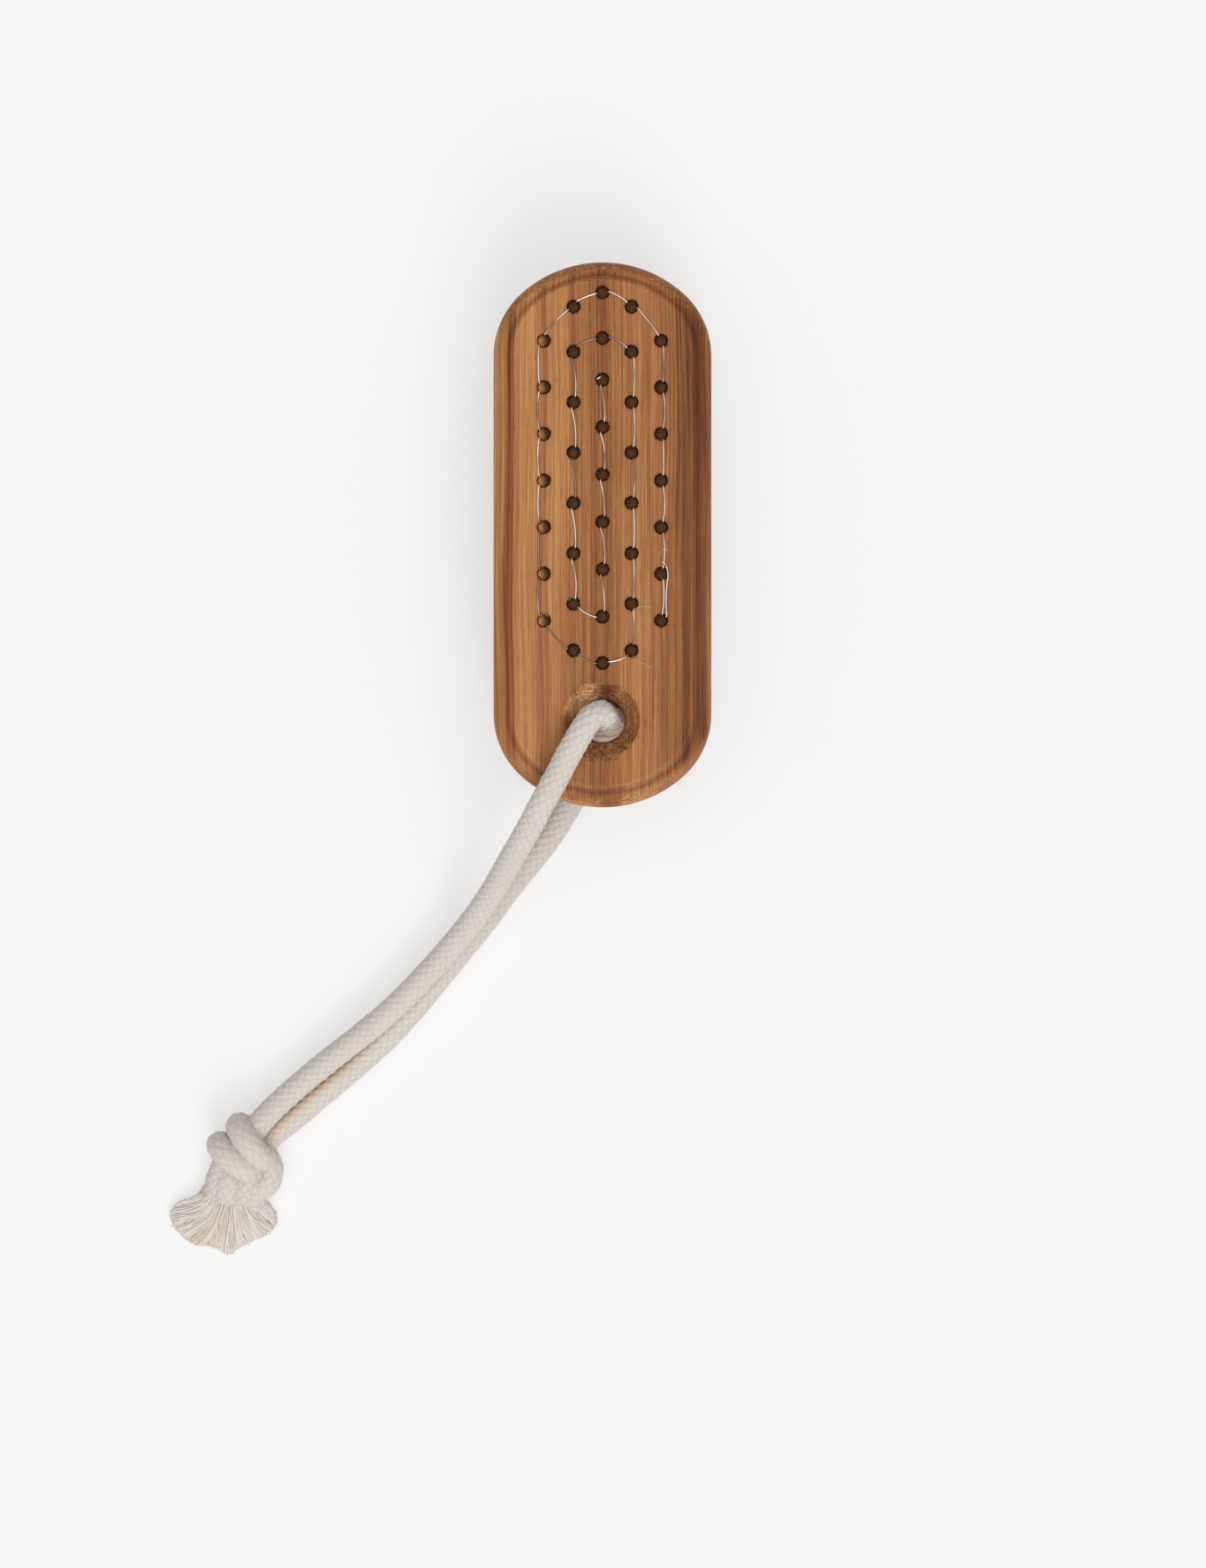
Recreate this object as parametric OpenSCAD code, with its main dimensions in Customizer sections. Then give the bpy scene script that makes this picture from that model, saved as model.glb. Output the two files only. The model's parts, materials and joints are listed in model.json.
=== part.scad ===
// Nail brush: a wooden stock, bristle tufts drawn into it with one steel wire, and a cotton hanging cord.
// The brush lies on its bristles with its stitched back up. +Y runs along the stock, away from the cord.

/* [Stock] */
// Length of the wooden stock
stock_l = 100; // [92:0.5:120]
// Width of the wooden stock
stock_w = 40; // [37:0.5:42]
// Thickness of the wooden stock
stock_h = 14; // [12.5:0.5:20]
// Length by which the radius of the arc across each end is more than half the width
end_flatness = 2.3; // [1.5:0.1:6]
// Length by which the radius of the arc at each corner is less than half the width
corner_tightness = 4.6; // [3:0.1:8]
// Radius of the rounded rim round the back
rim_r = 2.6; // [1.6:0.1:3.2]
// Width of the soft shoulder between the flat back and the rim
shoulder_w = 1.6; // [0.8:0.1:2]
// Depth of the crease between the shoulder and the rim
crease_depth = 0.45; // [0.2:0.05:0.8]
// Radius of the rounded edge round the bristle face
base_r = 1.6; // [0.6:0.1:2.4]

/* [Cord hole] */
// Diameter of the hole for the hanging cord
cord_hole_d = 8.2; // [6.8:0.1:9]
// Distance from the end of the stock to the middle of the cord hole
cord_hole_inset = 15.9; // [14:0.1:17]
// Width of the dished ring round the cord hole
dish_w = 2.75; // [1.5:0.05:3]
// Depth of the dished ring where it meets the hole
dish_depth = 2; // [1:0.1:3]

/* [Tuft pattern] */
// Distance from the far end of the stock to the middle of the first tuft
pattern_inset = 6; // [5.9:0.1:7]
// Distance from the middle of the cord hole to the middle of the last tuft
pattern_gap = 10.5; // [10:0.1:12]
// Distance from the middle line to each outer column of tufts
outer_column_x = 10.7; // [10.4:0.1:11.4]
// Distance from the middle line to each inner column of tufts
inner_column_x = 5.3; // [5.1:0.1:5.5]
// Number of tufts in each outer column
outer_count = 7; // [3:1:7]
// Number of tufts in each inner column
inner_count = 6; // [3:1:6]
// Number of tufts in the middle column
middle_count = 6; // [3:1:6]

/* [Tufts] */
// Free length of the bristles, from the bristle face to the trimmed tips
bristle_l = 16; // [12:0.5:20]
// Diameter of a tuft's hole in the bristle face
tuft_hole_d = 3.6; // [3:0.1:4]
// Depth of a tuft's hole
tuft_hole_depth = 9.5; // [7:0.1:10]
// Diameter of the hole in the back, through which the tuft is drawn in
draw_hole_d = 2.5; // [2.3:0.05:2.8]
// Gap between a tuft and the wall of its hole
pack_gap = 0.05; // [0.03:0.01:0.1]
// Depth of a tuft's fold below the back
fold_depth = 0.8; // [0.5:0.05:1]
// Radius, at the tips, of the circle that a tuft spreads to
tip_spread_r = 2.3; // [1.8:0.05:2.3]
// Number of coarse strands that stand for the hairs of one tuft
strand_count = 12; // [8:1:12]
// Width of one strand
strand_w = 0.5; // [0.3:0.05:0.55]

/* [Drawing wire] */
// Diameter of the steel drawing wire
wire_d = 0.3; // [0.2:0.02:0.34]
// Gap between the wire and the wood or bristle that it passes
wire_gap = 0.02; // [0.01:0.01:0.04]
// Room round the wire where it runs under a tuft's fold
tunnel_gap = 0.12; // [0.08:0.01:0.14]
// Depth of the wire under the crown of a fold
wire_under_crown = 1.1; // [1:0.05:1.2]
// Sideways bow of each stitch of the wire
stitch_bow = 0.3; // [0.1:0.05:0.5]

/* [Hanging cord] */
// Diameter of the cotton cord
cord_d = 4.8; // [4:0.1:4.9]
// Diameter of the cord where the knot pulls it tight
knot_cord_d = 4.7; // [4:0.1:4.8]
// Diameter of a lock of yarn where it leaves the knot
lock_d = 4.4; // [3:0.1:4.6]
// Diameter of a lock of yarn at its frayed tip
lock_tip_d = 2.2; // [1.4:0.1:2.6]

/* [Hidden] */
wood = "#a8703f";
bristle = "#3b2c1e";
steel = "#b9bcc0";
cotton = "#d8d1c6";

// Length by which every cut runs past the surface that it opens
overrun = 1;
// Length by which a strand's root is buried in its tuft
strand_root = 0.6;
// Facets of curves that stay round, of a strand, of the wire and of the cord
round_fn = 96;
full_turn = 360;
half_turn = 180;
strand_sides = 3;
wire_sides = 5;
cord_sides = 10;
lump_fn = 12;
rim_steps = 6;
corner_steps = 10;
end_steps = 20;
shoulder_steps = 4;
dish_steps = 5;

// Levels above the bristle tips
face_z = bristle_l;
back_z = bristle_l + stock_h;
crown_z = back_z - fold_depth;
tunnel_z = crown_z - wire_under_crown;
wire_z = back_z + wire_d / 2 + wire_gap;

// The outline is three arcs at each end: the end arc's centre lies on the middle line
end_arc_r = stock_w / 2 + end_flatness;
corner_arc_r = stock_w / 2 - corner_tightness;
end_centre_y = stock_l / 2 - end_arc_r;
corner_centre_x = corner_tightness;
corner_centre_y = end_centre_y + sqrt(pow(end_arc_r - corner_arc_r, 2) - pow(corner_centre_x, 2));
end_half_angle = atan2(corner_centre_x, corner_centre_y - end_centre_y);
end_start_angle = 90 - end_half_angle;

cord_hole_r = cord_hole_d / 2;
cord_hole_y = cord_hole_inset - stock_l / 2;
draw_r = draw_hole_d / 2;
tuft_r = tuft_hole_d / 2 - pack_gap;
neck_r = draw_r - pack_gap;
tunnel_r = wire_d / 2 + tunnel_gap;

// The tufts fill the back between the far end and the cord hole, and their rows follow that length
pattern_top = stock_l / 2 - pattern_inset;
pattern_bottom = cord_hole_y + pattern_gap;
pattern_l = pattern_top - pattern_bottom;
middle_column_share = [0.125, 0.765];
inner_column_share = [0.16, 0.84];
outer_column_share = [0.115, 0.87];
inner_arch_share = 0.877;
outer_arch_share = 0.962;
lower_arch_share = 0.034;

function row_y(share) = pattern_bottom + share * pattern_l;
function column(x, ends, count) =
    [for (i = [0:count - 1]) [x, row_y(ends[0] + (ends[1] - ends[0]) * i / (count - 1))]];
function reversed(list) = [for (i = [len(list) - 1:-1:0]) list[i]];

// Middles of the tufts, in the order in which the wire draws them in: one spiral from the middle outwards
tuft_places = concat(
    reversed(column(0, middle_column_share, middle_count)),
    column(-inner_column_x, inner_column_share, inner_count),
    [[0, row_y(inner_arch_share)]],
    reversed(column(inner_column_x, inner_column_share, inner_count)),
    [
        [inner_column_x, row_y(lower_arch_share)],
        [0, pattern_bottom],
        [-inner_column_x, row_y(lower_arch_share)]
    ],
    column(-outer_column_x, outer_column_share, outer_count),
    [
        [-inner_column_x, row_y(outer_arch_share)],
        [0, pattern_top],
        [inner_column_x, row_y(outer_arch_share)]
    ],
    reversed(column(outer_column_x, outer_column_share, outer_count))
);
tuft_count = len(tuft_places);

function tuft_name(i) = str("tuft_", i < 10 ? "0" : "", i);

function unit(v) = v / norm(v);
function turn(a) = [cos(a), sin(a)];
function lift(p, z) = [p.x, p.y, z];

// Where the wire meets each hole: it comes from the last tuft and leaves for the next.
// It starts with a free end in the first hole, and turns back out of the last one.
// On the arches it keeps to the left side of each hole, seen from the way it runs. In the left outer
// column it hooks round the left sides, and in the other columns its stitches slant a little.
return_in_angle = 80;
return_out_angle = 35;
hook_in_angle = 15;
hook_out_angle = 30;
side_hook_angle = 45;
slant_angle = 18;
function along_column(i) = tuft_places[i].x == tuft_places[i + 1].x;
function angle_in(i) =
    !along_column(i - 1) ? hook_in_angle
    : tuft_places[i].x < -inner_column_x ? side_hook_angle
    : slant_angle;
function angle_out(i) =
    !along_column(i) ? hook_out_angle
    : tuft_places[i].x < -inner_column_x ? side_hook_angle
    : tuft_places[i].x < inner_column_x ? -slant_angle
    : slant_angle;
function bow_side(i) = along_column(i) && tuft_places[i].x == -inner_column_x ? -1 : 1;
function heading(v, a) = turn(atan2(v.y, v.x) + a);
function way_in(i) =
    i == 0 ? -way_out(0)
    : i == tuft_count - 1 ? turn(return_in_angle)
    : heading(tuft_places[i - 1] - tuft_places[i], -angle_in(i));
function way_out(i) =
    i == tuft_count - 1 ? turn(return_out_angle)
    : heading(tuft_places[i + 1] - tuft_places[i], angle_out(i));

// The wire's way down into a hole: shares of the hole's radius, and of the drop to the tunnel
dip_shares = [[0.94, 0], [0.8, 0.08], [0.68, 0.3], [0.68, 0.78], [0.4, 1]];
bow_shares = [0.3, 0.7];
bridge_share = 0.4;
// Where the wire's end is twisted over the stitch before the last tuft but one, and how widely
twist_share = 0.88;
twist_r = wire_d * 3 / 2;
twist_l = wire_d * 3;
twist_steps = 6;

function dip(i, way) =
    [for (s = dip_shares) lift(tuft_places[i] + way * draw_r * s[0], wire_z - (wire_z - tunnel_z) * s[1])];
function rim_point(i, way) = tuft_places[i] + way * draw_r * dip_shares[0][0];
function left_of(v) = [-v.y, v.x];
function stitch_point(a, b, s, bow) =
    lift(a + (b - a) * s + left_of(unit(b - a)) * bow * 4 * s * (1 - s), wire_z);
function stitch(i, s) =
    stitch_point(rim_point(i, way_out(i)), rim_point(i + 1, way_in(i + 1)), s, stitch_bow * bow_side(i));

// The free end: back along the last stitch, and over the wire beside the last tuft but one
twist_middle = stitch(tuft_count - 3, twist_share);
wire_return = concat(
    [
        for (s = bow_shares)
            stitch(tuft_count - 2, 1 - s) + [twist_r, 0, 0]
    ],
    [lift(tuft_places[tuft_count - 2] + [draw_r, 0], wire_z)],
    [
        for (k = [0:twist_steps])
            twist_middle + [
                twist_r * cos(half_turn * k / twist_steps),
                twist_l * (k / twist_steps - 1 / 2),
                twist_r * sin(half_turn * k / twist_steps)
            ]
    ]
);
free_end_dips = 3;
wire_route = concat(
    [for (k = [len(dip_shares) - free_end_dips:len(dip_shares) - 1]) dip(0, way_in(0))[k]],
    [
        for (i = [0:tuft_count - 1])
            each concat(
                i == 0 ? [] : dip(i, way_in(i)),
                [lift(tuft_places[i], tunnel_z)],
                reversed(dip(i, way_out(i))),
                i == tuft_count - 1 ? [] : [for (s = bow_shares) stitch(i, s)]
            )
    ],
    wire_return
);

// The cord's route: from the knot under the stock, up through its hole, over the back and down to the knot.
// The ring at mid_ring, halfway up the hole, parts the lower strand from the upper one.
mid_ring = 18;
cord_route = [
    [-66.6, -115.8, 3.4],
    [-63.4, -113.1, 2.8],
    [-60, -110.5, 2.5],
    [-53.5, -105, 2.5],
    [-47, -99.5, 2.5],
    [-41, -94, 2.5],
    [-36, -88.5, 2.5],
    [-31.5, -83, 2.5],
    [-27, -77.5, 2.5],
    [-22.5, -72, 2.5],
    [-18.5, -66.5, 2.5],
    [-14.5, -61.5, 2.5],
    [-10.2, -56, 2.7],
    [-7, -51, 3.4],
    [-4.4, -46, 5.2],
    [-2.4, -41.4, 8.4],
    [-1, -37.6, 12.6],
    [-0.1, -35.5, 17.4],
    [0.5, -35.3, 22],
    [0.8, -35.2, 25],
    [0.9, -34.7, 27.9],
    [0.9, -34.1, 29.8],
    [0.6, -33.5, 31.6],
    [-0.1, -32.9, 33.3],
    [-1.5, -33.3, 34.6],
    [-2.8, -34.7, 35],
    [-3.9, -36.4, 34.9],
    [-5, -38.3, 34.3],
    [-6.3, -40.6, 33.7],
    [-7.6, -43.1, 33.2],
    [-9.5, -46.6, 32.8],
    [-11.4, -50, 32],
    [-13, -53, 29.6],
    [-15, -56.4, 26.6],
    [-18, -61.4, 20],
    [-21.2, -66.7, 13.8],
    [-25, -72, 9.1],
    [-29.5, -77.5, 7.2],
    [-34.5, -83, 6.9],
    [-40, -88.5, 6.5],
    [-46.5, -94, 6],
    [-53.5, -99.5, 5.4],
    [-60, -105, 5.4],
    [-64, -108.8, 6.1],
    [-67, -112.3, 7]
];
// A level direction that no stretch of the cord runs along
cord_side = [0.8, -0.6, 0];

// The doubled cord inside its overhand knot: three strands run under the two turns that lie round them
knot_runs = [
    [[-66.5, -111.7, 6.6], [-68, -113.5, 5.5], [-71.5, -117.5, 4.2], [-73.4, -121.3, 3.2], [-74.6, -126.5, 2.9]],
    [[-64.5, -113.8, 3.2], [-67, -116.5, 2.9], [-70.2, -121, 2.8], [-70.8, -127, 2.8]],
    [[-65.5, -116.5, 3.2], [-64, -118.9, 3.4], [-64.3, -121.8, 3.4], [-66.6, -124.1, 3.2], [-68.4, -127, 2.9]]
];
knot_turns = [
    [[-67.2, -114, 6.2], [2.2, -3.1, 0]],
    [[-70.1, -117, 6.2], [3, -2.5, 0]]
];
knot_rise = [0, 0, 3.6];
// Number of stretches of the route, at each of its ends, that may touch the knot
knot_reach = 3;
turn_steps = 10;

// The frayed ends: below the neck of the knot the yarn of each end spreads into locks.
// Each end is given by the two ends of its row of roots and by the tips of its locks.
neck_place = [-70.9, -125.4, 0];
neck_angle = -102;
parting_angle = neck_angle + 90;
trim_reach = 2 * norm(knot_runs[0][0] - neck_place);
left_roots = [[-74.8, -125, 2.9], [-72.4, -125.4, 2.8]];
left_tips = [
    [-81, -127.7, 1.7],
    [-82, -128.8, 1.4],
    [-81.8, -130.4, 1.6],
    [-81, -131.8, 1.3],
    [-79.8, -132.8, 1.6],
    [-78.4, -133.3, 1.3],
    [-76.8, -133.3, 1.7],
    [-75.4, -133.6, 1.3],
    [-73, -134.2, 1.6]
];
right_roots = [[-70.4, -125.4, 2.8], [-67.2, -125.2, 2.9]];
right_tips = [
    [-74, -134.2, 1.6],
    [-72.1, -135.1, 1.3],
    [-70.9, -134.4, 1.6],
    [-69.4, -133.5, 1.3],
    [-67.8, -132.7, 1.6],
    [-66.2, -132.1, 1.3],
    [-64.9, -131.2, 1.6],
    [-64.1, -129.8, 1.4],
    [-64.6, -128.5, 1.9]
];

// A tube through a list of points. Each ring stands square to the route, and its first spoke is carried
// along from ring to ring without twisting.
function route_way(route, i) =
    i == 0 ? unit(route[1] - route[0])
    : i == len(route) - 1 ? unit(route[i] - route[i - 1])
    : unit(unit(route[i + 1] - route[i]) + unit(route[i] - route[i - 1]));
function squared(v, way) = unit(v - (v * way) * way);
function spokes(route, first) =
    [
        for (i = 0, s = squared(first, route_way(route, 0));
            i < len(route);
            i = i + 1, s = i < len(route) ? squared(s, route_way(route, i)) : s) s
    ];

// The tube runs from one ring of the route to another.
module tube(route, r, sides, first, from, to) {
    carried = spokes(route, first);
    points = [
        for (i = [from:to])
            for (k = [0:sides - 1])
                route[i]
                    + r * cos(full_turn * k / sides) * carried[i]
                    + r * sin(full_turn * k / sides) * cross(route_way(route, i), carried[i])
    ];
    last = (to - from) * sides;
    faces = concat(
        [for (k = [1:sides - 2]) [0, k, k + 1]],
        [
            for (i = [0:to - from - 1])
                for (k = [0:sides - 1])
                    for (half = [0, 1])
                        let (a = i * sides + k, b = i * sides + (k + 1) % sides)
                            half == 0 ? [a, a + sides, b] : [b, a + sides, b + sides]
        ],
        [for (k = [1:sides - 2]) [last, last + k + 1, last + k]]
    );
    polyhedron(points, faces);
}

// One level of the stock's surface: how far it lies inside the outline, and its height above the face
stock_levels = concat(
    [
        for (k = [0:rim_steps])
            let (a = 90 * k / rim_steps)
                [base_r - base_r * sin(a), base_r - base_r * cos(a)]
    ],
    [
        for (k = [0:rim_steps])
            let (a = 90 * k / rim_steps)
                [rim_r - rim_r * cos(a), stock_h - crease_depth - rim_r + rim_r * sin(a)]
    ],
    [
        for (k = [1:shoulder_steps])
            let (s = k / shoulder_steps)
                [rim_r + shoulder_w * s, stock_h - crease_depth * pow(1 - s, 2)]
    ]
);

// The outline's points, counter-clockwise from the right side: arc centre, arc radius and direction
function quarter_turn_points(corner, end, first_angle) = concat(
    [for (k = [0:corner_steps]) [corner[0], corner_arc_r, first_angle + end_start_angle * k / corner_steps]],
    [
        for (k = [1:end_steps - 1])
            [end, end_arc_r, first_angle + end_start_angle + 2 * end_half_angle * k / end_steps]
    ],
    [
        for (k = [0:corner_steps])
            [corner[1], corner_arc_r, first_angle + half_turn - end_start_angle * (1 - k / corner_steps)]
    ]
);
stock_outline = concat(
    quarter_turn_points(
        [[corner_centre_x, corner_centre_y], [-corner_centre_x, corner_centre_y]], [0, end_centre_y], 0
    ),
    quarter_turn_points(
        [[-corner_centre_x, -corner_centre_y], [corner_centre_x, -corner_centre_y]], [0, -end_centre_y], half_turn
    )
);

module stock_blank() {
    n = len(stock_outline);
    top = (len(stock_levels) - 1) * n;
    points = [
        for (level = stock_levels)
            for (o = stock_outline)
                lift(o[0] + (o[1] - level[0]) * turn(o[2]), level[1])
    ];
    faces = concat(
        [[for (k = [0:n - 1]) k]],
        [
            for (j = [0:len(stock_levels) - 2])
                for (k = [0:n - 1])
                    let (a = j * n + k, b = j * n + (k + 1) % n)
                        [a, a + n, b + n, b]
        ],
        [[for (k = [n - 1:-1:0]) top + k]]
    );
    polyhedron(points, faces);
}

// The dished ring is cut by a ball whose centre lies on the hole's axis above the face
module dish() {
    outer_r = cord_hole_r + dish_w;
    ball_h = (pow(outer_r, 2) - pow(cord_hole_r, 2) - pow(dish_depth, 2)) / (2 * dish_depth);
    rotate_extrude($fn = round_fn)
        polygon(concat(
            [[0, -dish_depth]],
            [
                for (k = [0:dish_steps])
                    let (x = cord_hole_r + dish_w * k / dish_steps)
                        [x, ball_h - sqrt(pow(outer_r, 2) + pow(ball_h, 2) - pow(x, 2))]
            ],
            [[outer_r, overrun], [0, overrun]]
        ));
}

module stock() {
    color(wood)
        difference() {
            translate([0, 0, face_z]) stock_blank();
            for (p = tuft_places)
                translate([p.x, p.y, face_z]) {
                    translate([0, 0, -overrun])
                        cylinder(h = tuft_hole_depth + overrun, d = tuft_hole_d, $fn = round_fn);
                    cylinder(h = stock_h + overrun, d = draw_hole_d, $fn = round_fn);
                }
            translate([0, cord_hole_y, face_z]) {
                translate([0, 0, -overrun])
                    cylinder(h = stock_h + 2 * overrun, d = cord_hole_d, $fn = round_fn);
                translate([0, 0, stock_h]) dish();
                mirror([0, 0, 1]) dish();
            }
        }
}

module drawing_wire() {
    color(steel) tube(wire_route, wire_d / 2, wire_sides, [1, 1, 0], 0, len(wire_route) - 1);
}

// One strand is a three-sided ray from its root in the tuft to its trimmed tip
golden_angle = 137.5;
module strand(root, tip, a) {
    spoke_r = strand_w / sqrt(3);
    points = [
        for (end = [root, tip])
            for (k = [0:strand_sides - 1])
                end + spoke_r * lift(turn(a - full_turn * k / strand_sides), 0)
    ];
    polyhedron(points, [
        [0, 1, 2], [3, 5, 4],
        [0, 3, 1], [1, 3, 4],
        [1, 4, 2], [2, 4, 5],
        [2, 5, 0], [0, 5, 3]
    ]);
}

// Half section of a tuft's solid part: the bundle in its hole, and its fold with a domed crown
fold_dome = 0.5;
fold_angle = 65;
fold_steps = 3;
fold_section = concat(
    [[0, 0], [tuft_r, 0], [tuft_r, tuft_hole_depth - pack_gap], [neck_r, tuft_hole_depth - pack_gap]],
    [
        for (k = [0:fold_steps])
            let (a = fold_angle * k / fold_steps)
                [neck_r * cos(a), crown_z - face_z - fold_dome * (1 - sin(a) / sin(fold_angle))]
    ],
    [[0, crown_z - face_z]]
);

// A tuft is a bundle folded in two: the fold sits in the draw hole, over the wire, and fills the wider
// hole below it. The wire has a slot down each side of the fold and a tunnel under it.
module tuft(i) {
    p = tuft_places[i];
    root_r = tuft_r - strand_w;
    color(bristle)
        translate(lift(p, 0)) {
            difference() {
                translate([0, 0, face_z]) rotate_extrude($fn = round_fn) polygon(fold_section);
                for (way = [way_in(i), way_out(i)])
                    translate([0, 0, tunnel_z - tunnel_r])
                        rotate([0, 0, atan2(way.y, way.x)]) {
                            translate([-tunnel_r, -tunnel_r, 0])
                                cube([tunnel_r + draw_r, 2 * tunnel_r, 2 * tunnel_r]);
                            translate([draw_r * bridge_share, -tunnel_r, 0])
                                cube([draw_r, 2 * tunnel_r, stock_h]);
                        }
            }
            for (k = [0:strand_count - 1])
                let (
                    a = golden_angle * (k + i),
                    share = sqrt((k + 1 / 2) / strand_count)
                )
                    strand(
                        lift(turn(a) * root_r * share, face_z + strand_root),
                        lift(turn(a) * (tip_spread_r - strand_w / 2) * share, 0),
                        a
                    );
        }
}

module cord_stretch(from, to) {
    tube(cord_route, cord_d / 2, cord_sides, cord_side, from, to);
}

module upper_strand() {
    color(cotton) cord_stretch(mid_ring, len(cord_route) - 1);
}

module lower_strand() {
    color(cotton) cord_stretch(0, mid_ring);
}

module bead(p, d) {
    translate(p) sphere(d = d, $fn = lump_fn);
}

// A strand of the knot, as a chain of beads that is pulled smooth
module knot_strand(route) {
    for (i = [0:len(route) - 2])
        hull() {
            bead(route[i], knot_cord_d);
            bead(route[i + 1], knot_cord_d);
        }
}

// Everything on the far side of an upright plane through the neck of the knot
module beyond_neck(a) {
    translate(neck_place)
        rotate([0, 0, a])
            translate([0, -trim_reach, -trim_reach])
                cube([trim_reach, 2 * trim_reach, 2 * trim_reach]);
}

module cord_knot() {
    color(cotton)
        difference() {
            union() {
                for (run = knot_runs) knot_strand(run);
                for (around = knot_turns)
                    knot_strand([
                        for (k = [0:turn_steps])
                            around[0]
                                + around[1] * cos(full_turn * k / turn_steps)
                                + knot_rise * sin(full_turn * k / turn_steps)
                    ]);
            }
            cord_stretch(0, knot_reach);
            cord_stretch(len(cord_route) - 1 - knot_reach, len(cord_route) - 1);
            beyond_neck(neck_angle);
        }
}

module frayed_end(roots, tips, side_angle) {
    color(cotton)
        difference() {
            for (k = [0:len(tips) - 2])
                hull()
                    for (j = [k, k + 1]) {
                        bead(roots[0] + (roots[1] - roots[0]) * j / (len(tips) - 1), lock_d);
                        bead(tips[j], lock_tip_d);
                    }
            beyond_neck(neck_angle + half_turn);
            beyond_neck(side_angle);
        }
}

module frayed_end_left() {
    frayed_end(left_roots, left_tips, parting_angle);
}

module frayed_end_right() {
    frayed_end(right_roots, right_tips, parting_angle + half_turn);
}

stock();
drawing_wire();
for (i = [1:tuft_count])
    tuft(i - 1);
upper_strand();
lower_strand();
cord_knot();
frayed_end_left();
frayed_end_right();
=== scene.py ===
import json
import math
import random

import bmesh
import bpy
import numpy as np
from bpy.props import FloatProperty, FloatVectorProperty, IntProperty, PointerProperty
from bpy.types import Operator, Panel, PropertyGroup
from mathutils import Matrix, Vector
from mathutils.geometry import delaunay_2d_cdt

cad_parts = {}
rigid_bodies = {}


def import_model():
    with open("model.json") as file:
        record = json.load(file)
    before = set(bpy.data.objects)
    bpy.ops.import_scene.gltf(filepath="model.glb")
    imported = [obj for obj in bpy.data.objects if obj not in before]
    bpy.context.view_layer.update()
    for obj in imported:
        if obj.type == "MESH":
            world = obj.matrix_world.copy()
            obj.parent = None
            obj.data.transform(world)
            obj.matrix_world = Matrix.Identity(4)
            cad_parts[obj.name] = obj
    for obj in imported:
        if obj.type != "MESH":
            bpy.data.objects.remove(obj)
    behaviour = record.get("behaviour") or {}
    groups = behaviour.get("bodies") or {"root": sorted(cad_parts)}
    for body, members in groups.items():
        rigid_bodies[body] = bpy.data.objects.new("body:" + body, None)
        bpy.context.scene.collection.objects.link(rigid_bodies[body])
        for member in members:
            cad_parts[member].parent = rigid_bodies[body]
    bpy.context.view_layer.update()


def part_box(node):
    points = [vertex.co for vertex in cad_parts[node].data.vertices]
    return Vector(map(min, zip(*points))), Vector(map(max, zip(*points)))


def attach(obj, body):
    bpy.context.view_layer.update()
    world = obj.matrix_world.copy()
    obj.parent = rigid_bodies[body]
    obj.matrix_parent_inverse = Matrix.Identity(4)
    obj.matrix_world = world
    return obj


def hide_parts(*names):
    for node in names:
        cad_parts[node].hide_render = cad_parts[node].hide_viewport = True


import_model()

bl_info = {
    "name": "Nail Brush",
    "version": (1, 0, 0),
    "blender": (4, 5, 0),
    "location": "3D View > Sidebar > Nail Brush",
    "description": "Wooden nail brush drawn with one steel wire, on a braided cotton cord",
    "category": "Mesh",
}

STOCK_LOW, STOCK_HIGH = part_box("stock")
FACE_Z = STOCK_LOW[2]
BACK_Z = STOCK_HIGH[2]
TUFTS = 39
TUFT_NODES = ["tuft_%02d" % number for number in range(1, TUFTS + 1)]
CORD_HOLE = np.array([0.0, -0.0341])
# Materials count in millimetres
MILLIMETRES = 1000.0
HOLE_MIDDLE = (CORD_HOLE[0] * MILLIMETRES, CORD_HOLE[1] * MILLIMETRES, 0)


def tone(red, green, blue):
    """A colour as a shader takes it, from the 0 to 255 values that a screen shows."""
    return tuple(
        v / 12.92 if v <= 0.04045 else ((v + 0.055) / 1.055) ** 2.4
        for v in (red / 255, green / 255, blue / 255)
    )


def size(name, text, default):
    """A length that a user may change."""
    return FloatProperty(name=name, description=text, default=default, min=0, unit="LENGTH", precision=5)


def count(name, text, default, low, high):
    """A whole number that a user may change."""
    return IntProperty(name=name, description=text, default=default, min=low, max=high)


def strength(name, text, default):
    """The strength of a light, which a user may change."""
    return FloatProperty(name=name, description=text, default=default, min=0)


def colour(name, text, default):
    """A colour that a user may change."""
    return FloatVectorProperty(
        name=name, description=text, default=default, subtype="COLOR", size=3, min=0, max=1
    )


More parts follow.
